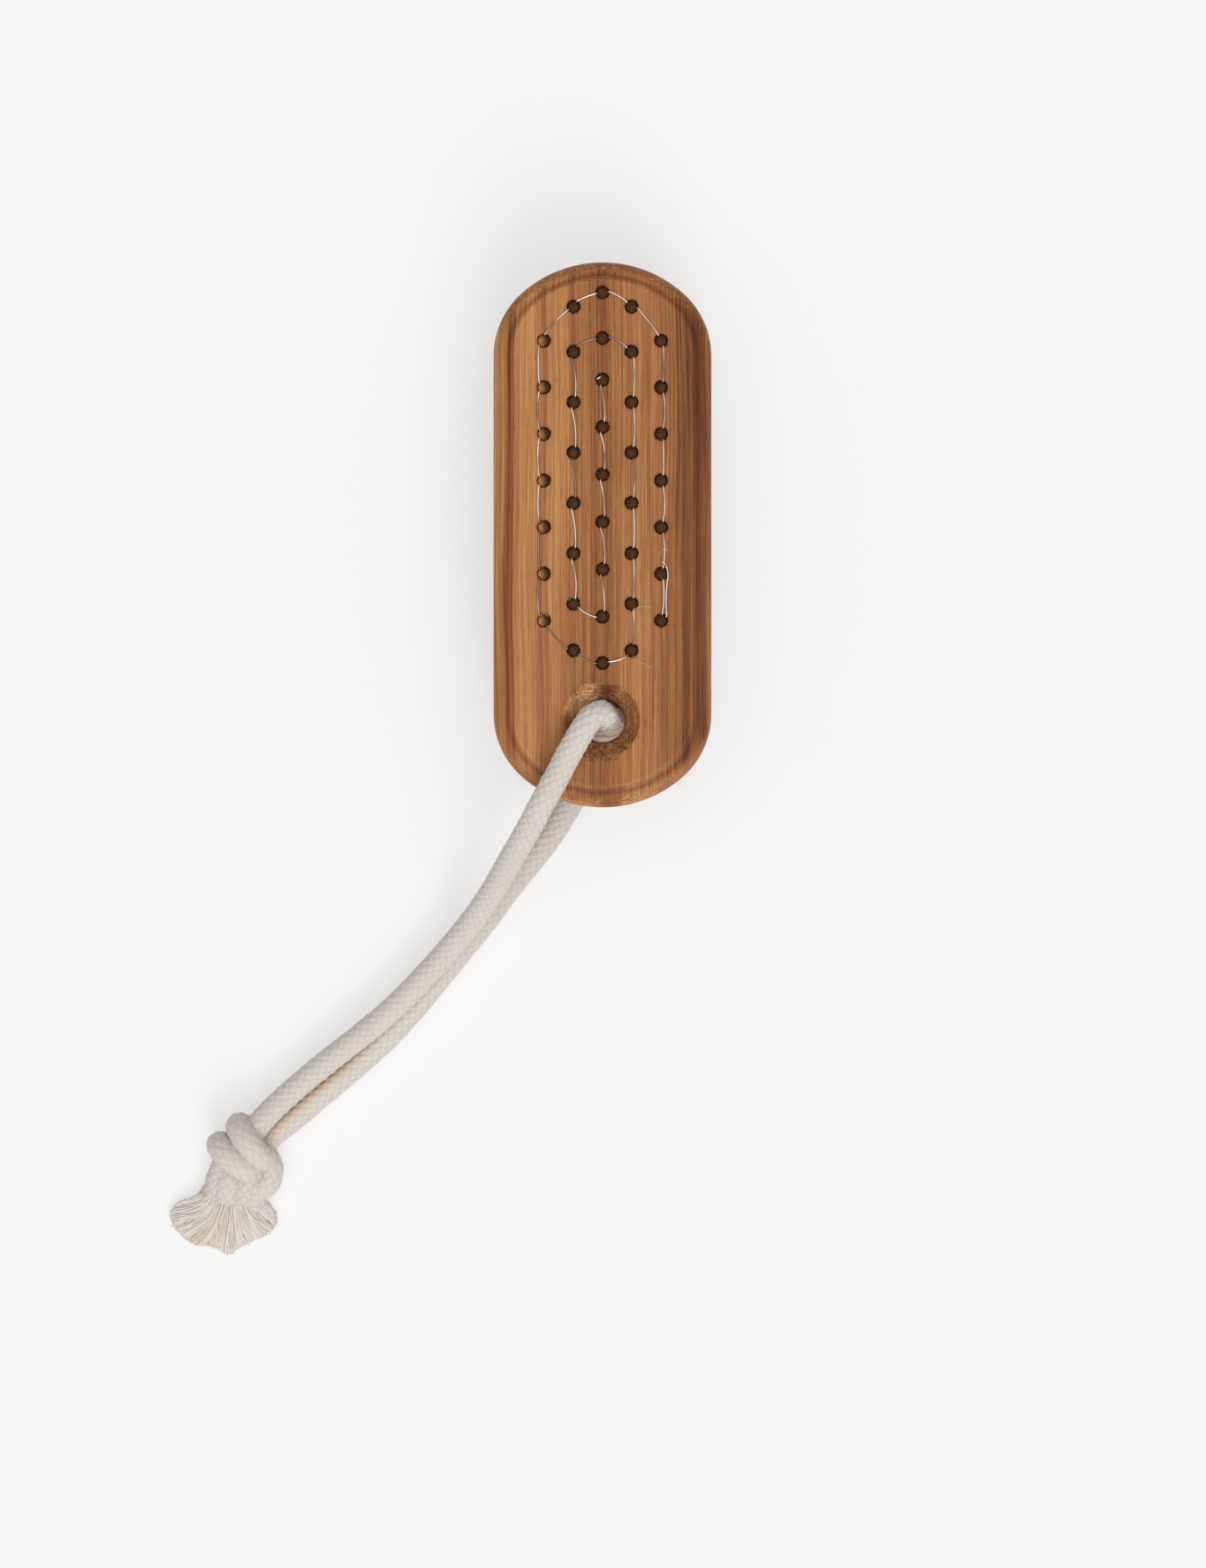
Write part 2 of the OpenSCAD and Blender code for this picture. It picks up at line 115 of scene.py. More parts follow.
class WoodSettings(PropertyGroup):
    end_arc: size("End arc", "Radius of the arc across each end", 0.0223)
    corner_arc: size("Corner arc", "Radius of the arc at each corner", 0.0154)
    rim: size("Rim", "Radius of the rounded rim round the back", 0.0026)
    shoulder: size("Shoulder", "Width of the shoulder inside the rim", 0.0016)
    crease: size("Crease", "Depth of the crease between shoulder and rim", 0.00045)
    # The stain along the crease is painted shade
    crease_width: size("Crease width", "Width of the stain along the crease", 0.0009)
    base: size("Base edge", "Radius of the edge round the bristle face", 0.0016)
    cord_hole: size("Cord hole", "Diameter of the cord hole", 0.0082)
    dish_width: size("Dish width", "Width of the dished ring round the cord hole", 0.00275)
    dish_depth: size("Dish depth", "Depth of the dished ring at the hole", 0.002)
    draw_hole: size("Draw hole", "Diameter of a draw hole in the back", 0.0025)
    tuft_hole: size("Tuft hole", "Diameter of a tuft's hole in the bristle face", 0.0036)
    tuft_depth: size("Tuft hole depth", "Depth of a tuft's hole", 0.0095)
    ragged: size("Ragged lip", "Unevenness of the lips of the draw holes", 0.00009)
    dark: colour("Dark grain", "Colour of the darkest grain", tone(92, 47, 30))
    middle: colour("Middle grain", "Colour of the middle grain", tone(150, 94, 53))
    light: colour("Light grain", "Colour of the lightest grain", tone(197, 141, 88))
    end_grain: colour("End grain", "Colour of the end grain", tone(112, 62, 36))
    roughness: FloatProperty(
        name="Roughness",
        description="Roughness of the oiled wood",
        default=0.42,
        min=0,
        max=1,
        subtype="FACTOR",
    )


class BristleSettings(PropertyGroup):
    hairs: count("Hairs", "Hairs in one tuft", 120, 10, 200)
    fold_hairs: count("Fold hairs", "Hairs seen in one fold", 84, 10, 120)
    hair_radius: size("Hair radius", "Radius of one hair", 0.00011)
    root_radius: size("Root radius", "Radius of a tuft where it leaves the wood", 0.0016)
    tip_radius: size("Tip radius", "Radius of a tuft at its tips", 0.0021)
    fold_depth: size("Fold depth", "Depth of a fold below the back", 0.0008)
    seed: IntProperty(name="Seed", description="Seed of the hairs' places", default=7)
    dark: colour("Dark hair", "Colour of the darkest hairs", tone(66, 40, 22))
    light: colour("Light hair", "Colour of the lightest hairs", tone(168, 118, 68))


class WireSettings(PropertyGroup):
    radius: size("Radius", "Radius of the drawing wire", 0.00015)
    steel: colour("Steel", "Colour of the drawing wire", tone(186, 176, 170))


class CordSettings(PropertyGroup):
    radius: size("Radius", "Radius of the braided cord", 0.0024)
    cell: size("Cell length", "Length of one cell of the braid", 0.00196)
    relief: size("Relief", "Depth of the creases between the cells", 0.00026)
    run_radius: size("Run radius", "Radius of the cord where it runs through its knot", 0.0027)
    turn_radius: size("Turn radius", "Radius of the cord where it turns round the knot", 0.00255)
    fibre_radius: size("Fibre radius", "Radius of one frayed fibre", 0.00012)
    fibres: count("Fibres", "Fibres in one frayed end", 1700, 100, 3000)
    seed: IntProperty(name="Seed", description="Seed of the yarns' places", default=11)
    cotton: colour("Cotton", "Colour of the cotton", tone(217, 212, 206))
    shade: colour("Shade", "Colour of the cotton in its creases", tone(185, 169, 153))
    yarn: colour("Yarn", "Colour of the frayed fibres", tone(222, 217, 211))
    yarn_shade: colour("Yarn shade", "Colour of the frayed fibres in their hollows", tone(211, 195, 173))


class StageSettings(PropertyGroup):
    height: size("Camera height", "Height of the camera above the floor", 0.545)
    aside: FloatProperty(
        name="Camera aside", description="Place of the camera across the brush", default=0.0001, unit="LENGTH"
    )
    along: FloatProperty(
        name="Camera along", description="Place of the camera along the brush", default=-0.0457, unit="LENGTH"
    )
    lens: FloatProperty(name="Lens", description="Focal length of the camera", default=64.8, unit="CAMERA")
    floor: colour("Floor", "Colour of the floor", tone(246, 246, 246))
    overhead: strength("Soft light", "Strength of the wide light above", 1.6)
    key: strength("Key light", "Strength of the light from one side", 1.0)
    sky: strength("Fill light", "Strength of the light from all round", 0.3)


class Nodes:
    """Adds nodes to one tree and joins them."""

    def __init__(self, tree):
        self.tree = tree
        tree.nodes.clear()

    def feed(self, socket, value):
        if isinstance(value, bpy.types.NodeSocket):
            self.tree.links.new(value, socket)
        else:
            socket.default_value = value

    def add(self, kind, inputs=(), **settings):
        made = self.tree.nodes.new(kind)
        for key, value in settings.items():
            setattr(made, key, value)
        for key, value in dict(inputs).items():
            self.feed(made.inputs[key], value)
        return made

    def sum(self, operation, *values, clamp=False):
        made = self.add("ShaderNodeMath", dict(enumerate(values)), operation=operation, use_clamp=clamp)
        return made.outputs[0]

    def times(self, first, second, clamp=False):
        return self.sum("MULTIPLY", first, second, clamp=clamp)

    def plus(self, first, second):
        return self.sum("ADD", first, second)

    def minus(self, first, second):
        return self.sum("SUBTRACT", first, second)

    def times_plus(self, first, second, third):
        """The product of the first two, and the third added to it."""
        return self.sum("MULTIPLY_ADD", first, second, third)

    def swayed(self, value, noise, amount):
        """The value, moved up or down by up to half the amount as the noise goes."""
        return self.times_plus(self.minus(noise, 0.5), amount, value)

    def vector(self, operation, *values):
        made = self.add("ShaderNodeVectorMath", operation=operation)
        for key, value in enumerate(values):
            self.feed(made.inputs["Scale"] if operation == "SCALE" and key == 1 else made.inputs[key], value)
        return made.outputs["Value"] if operation in ("LENGTH", "DOT_PRODUCT") else made.outputs[0]

    def join(self, x=0.0, y=0.0, z=0.0):
        return self.add("ShaderNodeCombineXYZ", {0: x, 1: y, 2: z}).outputs[0]

    def split(self, value):
        made = self.add("ShaderNodeSeparateXYZ", {0: value})
        return made.outputs[0], made.outputs[1], made.outputs[2]

    def noise(self, place, scale=1.0, detail=2.0, roughness=0.5):
        made = self.add(
            "ShaderNodeTexNoise", {"Vector": place, "Scale": scale, "Detail": detail, "Roughness": roughness}
        )
        return made.outputs["Fac"]

    def spread(self, value, low, high, new_low=0.0, new_high=1.0):
        made = self.add(
            "ShaderNodeMapRange",
            {0: value, 1: low, 2: high, 3: new_low, 4: new_high},
            interpolation_type="SMOOTHSTEP",
        )
        return made.outputs[0]

    def ramp(self, value, stops, interpolation="LINEAR"):
        made = self.add("ShaderNodeValToRGB", {0: value})
        bar = made.color_ramp
        bar.interpolation = interpolation
        while len(bar.elements) > 1:
            bar.elements.remove(bar.elements[-1])
        bar.elements[0].position = stops[0][0]
        bar.elements[0].color = (*stops[0][1], 1)
        for place, shade in stops[1:]:
            bar.elements.new(place).color = (*shade, 1)
        return made.outputs["Color"]

    def mix(self, share, first, second):
        made = self.add("ShaderNodeMix", data_type="RGBA", clamp_factor=True)
        self.feed(made.inputs[0], share)
        for key, value in ((6, first), (7, second)):
            flat = isinstance(value, tuple) and len(value) == 3
            self.feed(made.inputs[key], (*value, 1) if flat else value)
        return made.outputs[2]

    def tinted(self, share, surface, factors):
        """The colour, a share of it multiplied by the factors."""
        return self.mix(share, surface, self.vector("MULTIPLY", surface, factors))

    def attribute(self, name):
        return self.add("ShaderNodeAttribute", attribute_name=name).outputs["Fac"]


def new_material(name, finish=()):
    """A material with one Principled shader, and the helper for its tree."""
    material = bpy.data.materials.new(name)
    material.use_nodes = True
    n = Nodes(material.node_tree)
    shader = n.add("ShaderNodeBsdfPrincipled", finish)
    output = n.add("ShaderNodeOutputMaterial")
    n.tree.links.new(shader.outputs[0], output.inputs["Surface"])
    return material, n, shader


def bump(n, shader, height, depth, share):
    """Gives a shader a relief of some depth, by a share of its strength."""
    made = n.add("ShaderNodeBump", {"Height": height, "Distance": depth, "Strength": share})
    n.tree.links.new(made.outputs[0], shader.inputs["Normal"])


def grey(value):
    """A colour without a tint."""
    return (value, value, value)


# Lightness of the grain: millimetres from the middle of the board, and the share of light wood
GRAIN_HALF_WIDTH = 20
# The dark stripe at -17.3 mm lies along the left crease: painted shade
GRAIN = [
    (-20, 0.64), (-18.4, 0.6), (-17.3, 0.36), (-16.4, 0.44), (-15.3, 0.8), (-13, 0.82), (-11.5, 0.6),
    (-10.6, 0.5), (-9.2, 0.76), (-7.2, 0.76), (-5.5, 0.5), (-3.4, 0.52), (-1.6, 0.36), (0, 0.34),
    (1.8, 0.52), (4.4, 0.64), (6.8, 0.66), (8.8, 0.6), (10.4, 0.5), (12.6, 0.44), (13.9, 0.26),
    (15.2, 0.15), (17.8, 0.14), (19, 0.24), (20, 0.4),
]
# Fine lines of the grain: how close they stand, how fast they change along the board, how strong they are
GRAIN_LINES = [(1.5, 0.012, 0.16), (3.6, 0.02, 0.27), (8.0, 0.05, 0.25)]
COTTON_FINISH = {"Roughness": 0.92, "Sheen Weight": 0.25, "IOR": 1.4}
# Middle of the painted shade in the knot's crease, in millimetres
KNOT_SHADE = (-67.4, -120.6, 6.5)


def grain_course(n, place):
    """The place across the board, bent as the grain is."""
    x, _, z = n.split(place)
    # The layers of grain lean a little, so the sides carry on the stripes of the back
    leaning = n.times_plus(n.minus(z, BACK_Z * MILLIMETRES), 0.3, x)
    wander = n.noise(n.vector("MULTIPLY", place, (0.05, 0.022, 0.05)), detail=1.0)
    wobble = n.noise(n.vector("MULTIPLY", place, (0.3, 0.11, 0.3)), detail=2.0)
    return n.swayed(n.swayed(leaning, wander, 2.2), wobble, 0.35)


def long_grain(n, s, place):
    """Colour of the wood along its fibres, its open pores, and the two finer layers of its lines."""
    course = grain_course(n, place)
    _, y, _ = n.split(place)
    width = 2 * GRAIN_HALF_WIDTH
    marks = [((across + GRAIN_HALF_WIDTH) / width, grey(light)) for across, light in GRAIN]
    stripes = n.ramp(n.times_plus(course, 1 / width, 0.5), marks, "EASE")
    wide = n.noise(n.join(n.times(course, 0.8), n.times(y, 0.018)), detail=3.0, roughness=0.6)
    tint = n.swayed(stripes, wide, 0.42)
    layers = []
    for across, along, weight in GRAIN_LINES:
        spot = n.join(n.times(course, across), n.times(y, along), across * 3.0)
        layers.append(n.noise(spot, detail=3.0, roughness=0.6))
        tint = n.swayed(tint, n.spread(layers[-1], 0.4, 0.6), weight)
    _, narrow, fibre = layers
    grain = n.ramp(tint, [(0.0, tuple(s.dark)), (0.45, tuple(s.middle)), (1.0, tuple(s.light))])
    # Open pores: short dark dashes along the grain
    spot = n.join(n.times(course, 7.0), n.times(y, 0.33), 21.0)
    pores = n.spread(n.noise(spot, detail=2.0, roughness=0.4), 0.62, 0.7)
    grain = n.mix(n.times(pores, 0.34), grain, tone(84, 48, 34))
    # Redder patches drift through the board
    red = n.noise(n.vector("MULTIPLY", place, (0.12, 0.02, 0.1)), detail=2.0)
    grain = n.mix(n.times(n.spread(red, 0.5, 0.75), 0.3), grain, tone(150, 84, 56))
    return grain, pores, narrow, fibre


def end_grain(n, s, place):
    """Colour of the wood cut across its fibres: mottled, with pale rays that are more at the near end, which
    is painted lighter.
    """
    x, y, _ = n.split(place)
    mottle = n.noise(n.vector("MULTIPLY", place, (2.3, 2.9, 2.9)), detail=5.0, roughness=0.75)
    flecked = n.mix(n.spread(mottle, 0.4, 0.62), tuple(s.end_grain), tone(150, 94, 56))
    rays = n.noise(n.vector("MULTIPLY", place, (1.0, 3.4, 2.2)), detail=3.0, roughness=0.65)
    patches = n.noise(n.vector("SCALE", place, 0.16), detail=1.0)
    # Painted light: more pale rays towards the near end
    low_end = n.spread(y, 10.0, -40.0, 0.0, 0.1)
    rays = n.times(n.spread(n.plus(rays, low_end), 0.52, 0.6), n.spread(patches, 0.36, 0.54))
    flecked = n.mix(n.times(rays, 0.8), flecked, tone(214, 160, 108))
    # Painted light: the near end is lighter away from its middle
    near_end = n.times(n.spread(y, 0.0, -40.0), n.spread(n.sum("ABSOLUTE", x), 4.0, 11.0, 0.0, 0.6))
    return n.mix(near_end, flecked, tone(176, 120, 84))


def dished(n, surface, place):
    """The colour with the dished ring on it, cut across the fibres: darker, stippled where they tore, with
    painted shade and highlight.
    """
    aside = n.vector("MULTIPLY", n.vector("SUBTRACT", place, HOLE_MIDDLE), (1, 1, 0))
    away = n.vector("LENGTH", aside)
    x, y, _ = n.split(aside)
    torn = n.noise(n.vector("SCALE", place, 1.1), detail=3.0, roughness=0.6)
    # Painted shadow of the cord: the dark ring reaches further out on its lower left
    near_left = n.sum("DIVIDE", n.times(n.plus(x, y), -0.71), away)
    ragged = n.times_plus(n.spread(near_left, 0.2, 0.8), -0.5, n.swayed(away, torn, 2.4))
    _, along, _ = n.split(place)
    # Painted shade: the ring is darker towards the near end
    ring = n.times(n.spread(ragged, 7.5, 6.5), n.spread(along, -41.0, -29.0, 1.0, 0.66))
    # On its far left the dark ring fades out: painted light
    far_left = n.sum("DIVIDE", n.times_plus(y, 0.74, n.times(x, -0.67)), away)
    ring = n.times(ring, n.spread(far_left, 0.6, 0.95, 1.0, 0.12))
    stipple = n.noise(n.vector("MULTIPLY", place, (2.4, 1.6, 1.6)), detail=4.0, roughness=0.75)
    dark_ring = n.vector("MULTIPLY", surface, (0.4, 0.34, 0.36))
    light_ring = n.vector("MULTIPLY", surface, (1.06, 1.05, 1.15))
    surface = n.mix(ring, surface, n.mix(n.spread(stipple, 0.42, 0.6), dark_ring, light_ring))
    # Painted highlight on the far left of the ring
    pale = n.times(n.spread(far_left, 0.68, 0.94), n.spread(ragged, 7.4, 6.6))
    pale = n.times(pale, n.spread(stipple, 0.36, 0.6, 0.45, 1.0))
    return n.tinted(pale, surface, (2.2, 2.8, 3.5))


def wood_material(s):
    """Oiled wood, with end grain on the rims of both ends, painted shade in the crease, down the holes and in
    the dish, and a painted highlight on the long edges.
    """
    material, n, shader = new_material("oiled_wood", {"IOR": 1.45, "Specular IOR Level": 0.16})
    coordinates = n.add("ShaderNodeTexCoord")
    place = n.vector("SCALE", coordinates.outputs["Object"], MILLIMETRES)
    grain, pores, narrow, fibre = long_grain(n, s, place)
    facing = n.split(coordinates.outputs["Normal"])
    ends = n.spread(n.sum("ABSOLUTE", facing[1]), 0.1, 0.5)
    surface = n.mix(n.times(ends, 0.86), grain, n.mix(0.75, grain, end_grain(n, s, place)))
    surface = dished(n, surface, place)
    # Painted highlight along the rounded rim and the shoulder of the long edges
    edge_highlight = n.times(n.attribute("edge_highlight"), n.minus(1.0, ends))
    surface = n.tinted(n.times(edge_highlight, 0.7), surface, (1.35, 1.5, 1.6))
    # Painted shade along the crease between shoulder and rim
    stain = n.times(n.attribute("crease"), n.spread(narrow, 0.2, 0.7, 1.0, 0.5))
    surface = n.tinted(n.times(stain, 1.25, clamp=True), surface, (0.53, 0.4, 0.4))
    # Painted shade down the holes, in the dish, at the holes' lips and on the torn fibres
    hole_shading = n.times(n.attribute("hole_shade"), n.spread(fibre, 0.2, 0.6, 0.75, 1.0), clamp=True)
    n.feed(shader.inputs["Base Color"], n.mix(hole_shading, surface, tone(70, 36, 20)))
    rough = n.spread(fibre, 0.3, 0.7, s.roughness - 0.06, s.roughness + 0.12)
    n.feed(shader.inputs["Roughness"], rough)
    relief = n.times_plus(pores, -0.7, n.times_plus(narrow, 0.35, fibre))
    bump(n, shader, relief, 0.00006, 0.6)
    return material


def bristle_material(s):
    """Brown hair, with the shade that each hair has."""
    material, n, shader = new_material("bristle_hair", {"Roughness": 0.5, "Specular IOR Level": 0.1})
    coordinates = n.add("ShaderNodeTexCoord")
    stretched = n.vector("MULTIPLY", coordinates.outputs["Object"], (2500.0, 2500.0, 400.0))
    streak = n.noise(stretched, detail=3.0)
    # Painted light: the folds of the left column are lighter on their left half
    x, _, z = n.split(n.vector("SCALE", coordinates.outputs["Object"], MILLIMETRES))
    lit = n.times(n.spread(x, -10.1, -11.9), n.spread(z, 25.0, 27.0))
    share = n.times_plus(lit, 0.9, n.swayed(n.attribute("shade"), streak, 0.5))
    hair = n.mix(share, tuple(s.dark), tuple(s.light))
    n.feed(shader.inputs["Base Color"], n.tinted(lit, hair, (1.7, 1.65, 1.75)))
    bump(n, shader, streak, 0.00002, 0.4)
    return material


def steel_material(s):
    """Drawn steel, dull and brown in places."""
    finish = {"Metallic": 1.0, "Roughness": 0.24, "Base Color": (*s.steel, 1)}
    material, n, shader = new_material("drawn_steel", finish)
    coordinates = n.add("ShaderNodeTexCoord")
    scuff = n.noise(n.vector("SCALE", coordinates.outputs["Object"], 420.0), detail=1.0)
    stain = n.noise(n.vector("SCALE", coordinates.outputs["Object"], 130.0), detail=1.0)
    dull = n.times_plus(n.spread(scuff, 0.5, 0.8), 0.15, n.spread(stain, 0.42, 0.62))
    n.feed(shader.inputs["Base Color"], n.mix(n.times(dull, 0.85), tuple(s.steel), tone(104, 84, 70)))
    n.feed(shader.inputs["Roughness"], n.spread(scuff, 0.3, 0.7, 0.14, 0.24))
    return material


def yarn_on_top(n, counts):
    """Where a point lies on the yarn that is on top there: across it and along it, from 0 to 1."""
    a, b, _ = n.split(counts)
    parity = n.sum("FLOORED_MODULO", n.plus(n.sum("FLOOR", a), n.sum("FLOOR", b)), 2.0)
    over_b = n.sum("GREATER_THAN", parity, 0.5)
    share_a = n.sum("FRACT", a)
    share_b = n.sum("FRACT", b)
    gap = n.minus(share_b, share_a)
    return n.times_plus(over_b, gap, share_a), n.times_plus(over_b, n.times(gap, -1.0), share_b)


def shaded_cotton(n, surface, place, fuzz):
    """The cotton's colour with painted shade in the knot's crease, in its hole, between the two strands and
    where it turns down into its hole.
    """
    # Painted shade in the knot's crease
    away = n.vector("MULTIPLY", n.vector("SUBTRACT", place, KNOT_SHADE), (0.3, 0.75, 0.3))
    stain = n.times(n.spread(n.vector("LENGTH", away), 1.3, 0.2), n.spread(fuzz, 0.35, 0.6))
    surface = n.mix(n.times(stain, 0.55), surface, tone(176, 132, 98))
    # Painted shade where it is packed into its hole, darkest in the folds of its wrinkles
    sunk = n.attribute("sunk")
    surface = n.tinted(n.times(sunk, 0.85), surface, (0.7, 0.56, 0.5))
    pleat = n.times(sunk, n.spread(n.attribute("pleat"), 0.2, -0.9))
    surface = n.mix(n.times(pleat, 0.7), surface, tone(118, 92, 76))
    # Painted shade where the two strands lie side by side
    seam_shade = n.times(n.attribute("seam_shade"), n.spread(fuzz, 0.15, 0.5))
    surface = n.mix(n.times(seam_shade, 0.7), surface, tone(206, 178, 150))
    # Painted shadow on its far side, where it leaves the hole and turns down into it
    x, y, _ = n.split(n.vector("SUBTRACT", place, HOLE_MIDDLE))
    reach = n.times_plus(x, 0.8, n.times(y, 0.6))
    return n.tinted(n.times(n.spread(reach, 2.4, 3.0), 0.9), surface, (0.34, 0.25, 0.2))


def braid_material(s):
    """Cotton braid. The UV map holds the two counts of cells, one along each family of yarns."""
    material, n, shader = new_material("cotton_braid", COTTON_FINISH)
    coordinates = n.add("ShaderNodeTexCoord")
    place = n.vector("SCALE", coordinates.outputs["Object"], MILLIMETRES)
    across, along = yarn_on_top(n, coordinates.outputs["UV"])
    lines = n.sum("SINE", n.times(across, math.tau * 3))
    twist = n.sum("SINE", n.times_plus(across, 9.0, n.times(along, 26.0)))
    fuzz = n.noise(place, 5.0, 4.0, 0.7)
    lint = n.noise(place, 16.0, 3.0, 0.7)
    # Painted shade in the hollows between the cells
    edge = n.sum("POWER", n.sum("ABSOLUTE", n.times_plus(across, 2.0, -1.0)), 5.0)
    end = n.sum("POWER", n.sum("ABSOLUTE", n.times_plus(along, 2.0, -1.0)), 7.0)
    hollow = n.swayed(n.sum("MAXIMUM", edge, n.times(end, 0.7)), fuzz, 0.5)
    surface = n.mix(n.times(hollow, 0.52, clamp=True), tuple(s.cotton), tuple(s.shade))
    # Painted shade along the lines between the yarns
    surface = n.mix(n.times(n.spread(lines, -0.3, -1.0), 0.22), surface, tuple(s.shade))
    tint = n.noise(place, 0.35, 2.0)
    surface = n.mix(n.times(n.spread(tint, 0.45, 0.7), 0.12), surface, tone(224, 200, 186))
    speck = n.spread(n.noise(place, 3.3, 1.0), 0.74, 0.78)
    surface = n.mix(n.times(speck, 0.35), surface, tone(140, 116, 88))
    n.feed(shader.inputs["Base Color"], shaded_cotton(n, surface, place, fuzz))
    height = n.times_plus(lines, 0.35, n.times_plus(lint, 0.5, fuzz))
    bump(n, shader, n.times_plus(twist, 0.12, height), 0.00009, 0.7)
    return material


def yarn_material(s):
    """Loose cotton yarn, with the shade that each fibre has."""
    material, n, shader = new_material("cotton_yarn", COTTON_FINISH)
    coordinates = n.add("ShaderNodeTexCoord")
    place = n.vector("SCALE", coordinates.outputs["Object"], MILLIMETRES)
    fuzz = n.noise(place, 6.0, 4.0, 0.7)
    tint = n.noise(place, 0.5, 2.0)
    # The shade of each fibre is painted shade in the hollows of the folds
    surface = n.mix(n.spread(n.attribute("shade"), 0.0, 1.0), tuple(s.yarn_shade), tuple(s.yarn))
    surface = n.mix(n.times(n.spread(tint, 0.5, 0.75), 0.2), surface, tone(228, 208, 174))
    surface = n.mix(n.times(n.spread(fuzz, 0.5, 0.3), 0.14), surface, tone(200, 182, 156))
    n.feed(shader.inputs["Base Color"], surface)
    bump(n, shader, fuzz, 0.00005, 0.6)
    return material


MATERIALS = {
    "oiled_wood": (wood_material, "wood"),
    "bristle_hair": (bristle_material, "bristle"),
    "drawn_steel": (steel_material, "wire"),
    "cotton_braid": (braid_material, "cord"),
    "cotton_yarn": (yarn_material, "cord"),
}


def finish_of(context, name):
    """The named material, made from its settings the first time that it is asked for."""
    ready = bpy.data.materials.get(name)
    if ready is None:
        make, group = MATERIALS[name]
        ready = make(getattr(context.scene, "nail_brush_" + group))
    return ready


def placed(name, data):
    """A new object of the scene, at the origin."""
    piece = bpy.data.objects.new(name, data)
    bpy.context.scene.collection.objects.link(piece)
    return piece


def new_piece(name, points, faces, material, smooth=True, corners=None):
    """A mesh object at the origin."""
    mesh = bpy.data.meshes.new(name)
    mesh.from_pydata([tuple(p) for p in points], [], faces)
    if corners is not None:
        layer = mesh.uv_layers.new(name="braid")
        layer.data.foreach_set("uv", np.asarray(corners, dtype=np.float32).ravel())
    mesh.materials.append(material)
    if smooth:
        mesh.shade_smooth()
    mesh.update()
    return placed(name, mesh)


def set_numbers(mesh, name, values):
    """Stores one number for each point of a mesh."""
    layer = mesh.attributes.new(name=name, type="FLOAT", domain="POINT")
    layer.data.foreach_set("value", np.asarray(values, dtype=np.float32))


def plain_mesh(source, name, tree, values):
    """Runs a geometry tree on the source object, and keeps its result as a plain mesh."""
    modifier = source.modifiers.new(tree.name, "NODES")
    modifier.node_group = tree
    sockets = {item.name: item.identifier for item in tree.interface.items_tree if item.in_out == "INPUT"}
    for key, value in values.items():
        modifier[sockets[key]] = value
    graph = bpy.context.evaluated_depsgraph_get()
    mesh = bpy.data.meshes.new_from_object(source.evaluated_get(graph), depsgraph=graph)
    source.modifiers.clear()
    bpy.data.objects.remove(source)
    mesh.name = name
    mesh.shade_smooth()
    return placed(name, mesh)


def joined(name, parts):
    """One mesh of several pieces that share a material."""
    body = bmesh.new()
    for part in parts:
        body.from_mesh(part.data)
    mesh = bpy.data.meshes.new(name)
    body.to_mesh(mesh)
    body.free()
    mesh.materials.append(parts[0].data.materials[0])
    for part in parts:
        bpy.data.objects.remove(part)
    mesh.shade_smooth()
    return placed(name, mesh)


def turn(angle):
    """The direction across and along the brush at an angle from its right."""
    return np.array([math.cos(angle), math.sin(angle)])


CORNER_STEPS = 14
END_STEPS = 28
SIDE_STEPS = 44


def stock_outline(s, inset):
    """Points of the stock's outline, moved inwards, anticlockwise from the right side."""
    half_length = (STOCK_HIGH[1] - STOCK_LOW[1]) / 2
    half_width = (STOCK_HIGH[0] - STOCK_LOW[0]) / 2
    end_y = half_length - s.end_arc
    corner_x = half_width - s.corner_arc
    corner_y = end_y + math.sqrt((s.end_arc - s.corner_arc) ** 2 - corner_x**2)
    end_half = math.atan2(corner_x, corner_y - end_y)
    start = math.pi / 2 - end_half
    places = []
    for first, sign in ((0.0, 1), (math.pi, -1)):
        for k in range(CORNER_STEPS + 1):
            angle = first + start * k / CORNER_STEPS
            places.append(((sign * corner_x, sign * corner_y), s.corner_arc, angle))
        for k in range(1, END_STEPS):
            angle = first + start + 2 * end_half * k / END_STEPS
            places.append(((0.0, sign * end_y), s.end_arc, angle))
        for k in range(CORNER_STEPS + 1):
            angle = first + math.pi - start * (1 - k / CORNER_STEPS)
            places.append(((-sign * corner_x, sign * corner_y), s.corner_arc, angle))
        for k in range(1, SIDE_STEPS):
            y = sign * corner_y * (1 - 2 * k / SIDE_STEPS)
            places.append(((-sign * corner_x, y), s.corner_arc, first + math.pi))
    return [np.array(centre) + (radius - inset) * turn(angle) for centre, radius, angle in places]


PATTERN_TOP = 0.044
PATTERN_BOTTOM = -0.0236
# Columns stand at five places across the board: these lie between them
BESIDE_OUTER = -0.008
BESIDE_INNER = 0.003


def row_y(share):
    """Place along the brush at a share of the pattern's length."""
    return PATTERN_BOTTOM + share * (PATTERN_TOP - PATTERN_BOTTOM)


def column(x, ends, holes):
    """A straight column of holes, an equal step apart, between two shares of the pattern's length."""
    return [(x, row_y(ends[0] + (ends[1] - ends[0]) * i / (holes - 1))) for i in range(holes)]


def tuft_places():
    """Middles of the tufts, in the order in which the wire draws them in."""
    inner = 0.0053
    outer = 0.0107
    return [
        np.array(p)
        for p in [
            *column(0.0, (0.125, 0.765), 6)[::-1],
            *column(-inner, (0.16, 0.84), 6),
            (0.0, row_y(0.877)),
            *column(inner, (0.16, 0.84), 6)[::-1],
            (inner, row_y(0.034)),
            (0.0, PATTERN_BOTTOM),
            (-inner, row_y(0.034)),
            *column(-outer, (0.115, 0.87), 7),
            (-inner, row_y(0.962)),
            (0.0, PATTERN_TOP),
            (inner, row_y(0.962)),
            *column(outer, (0.115, 0.87), 7)[::-1],
        ]
    ]


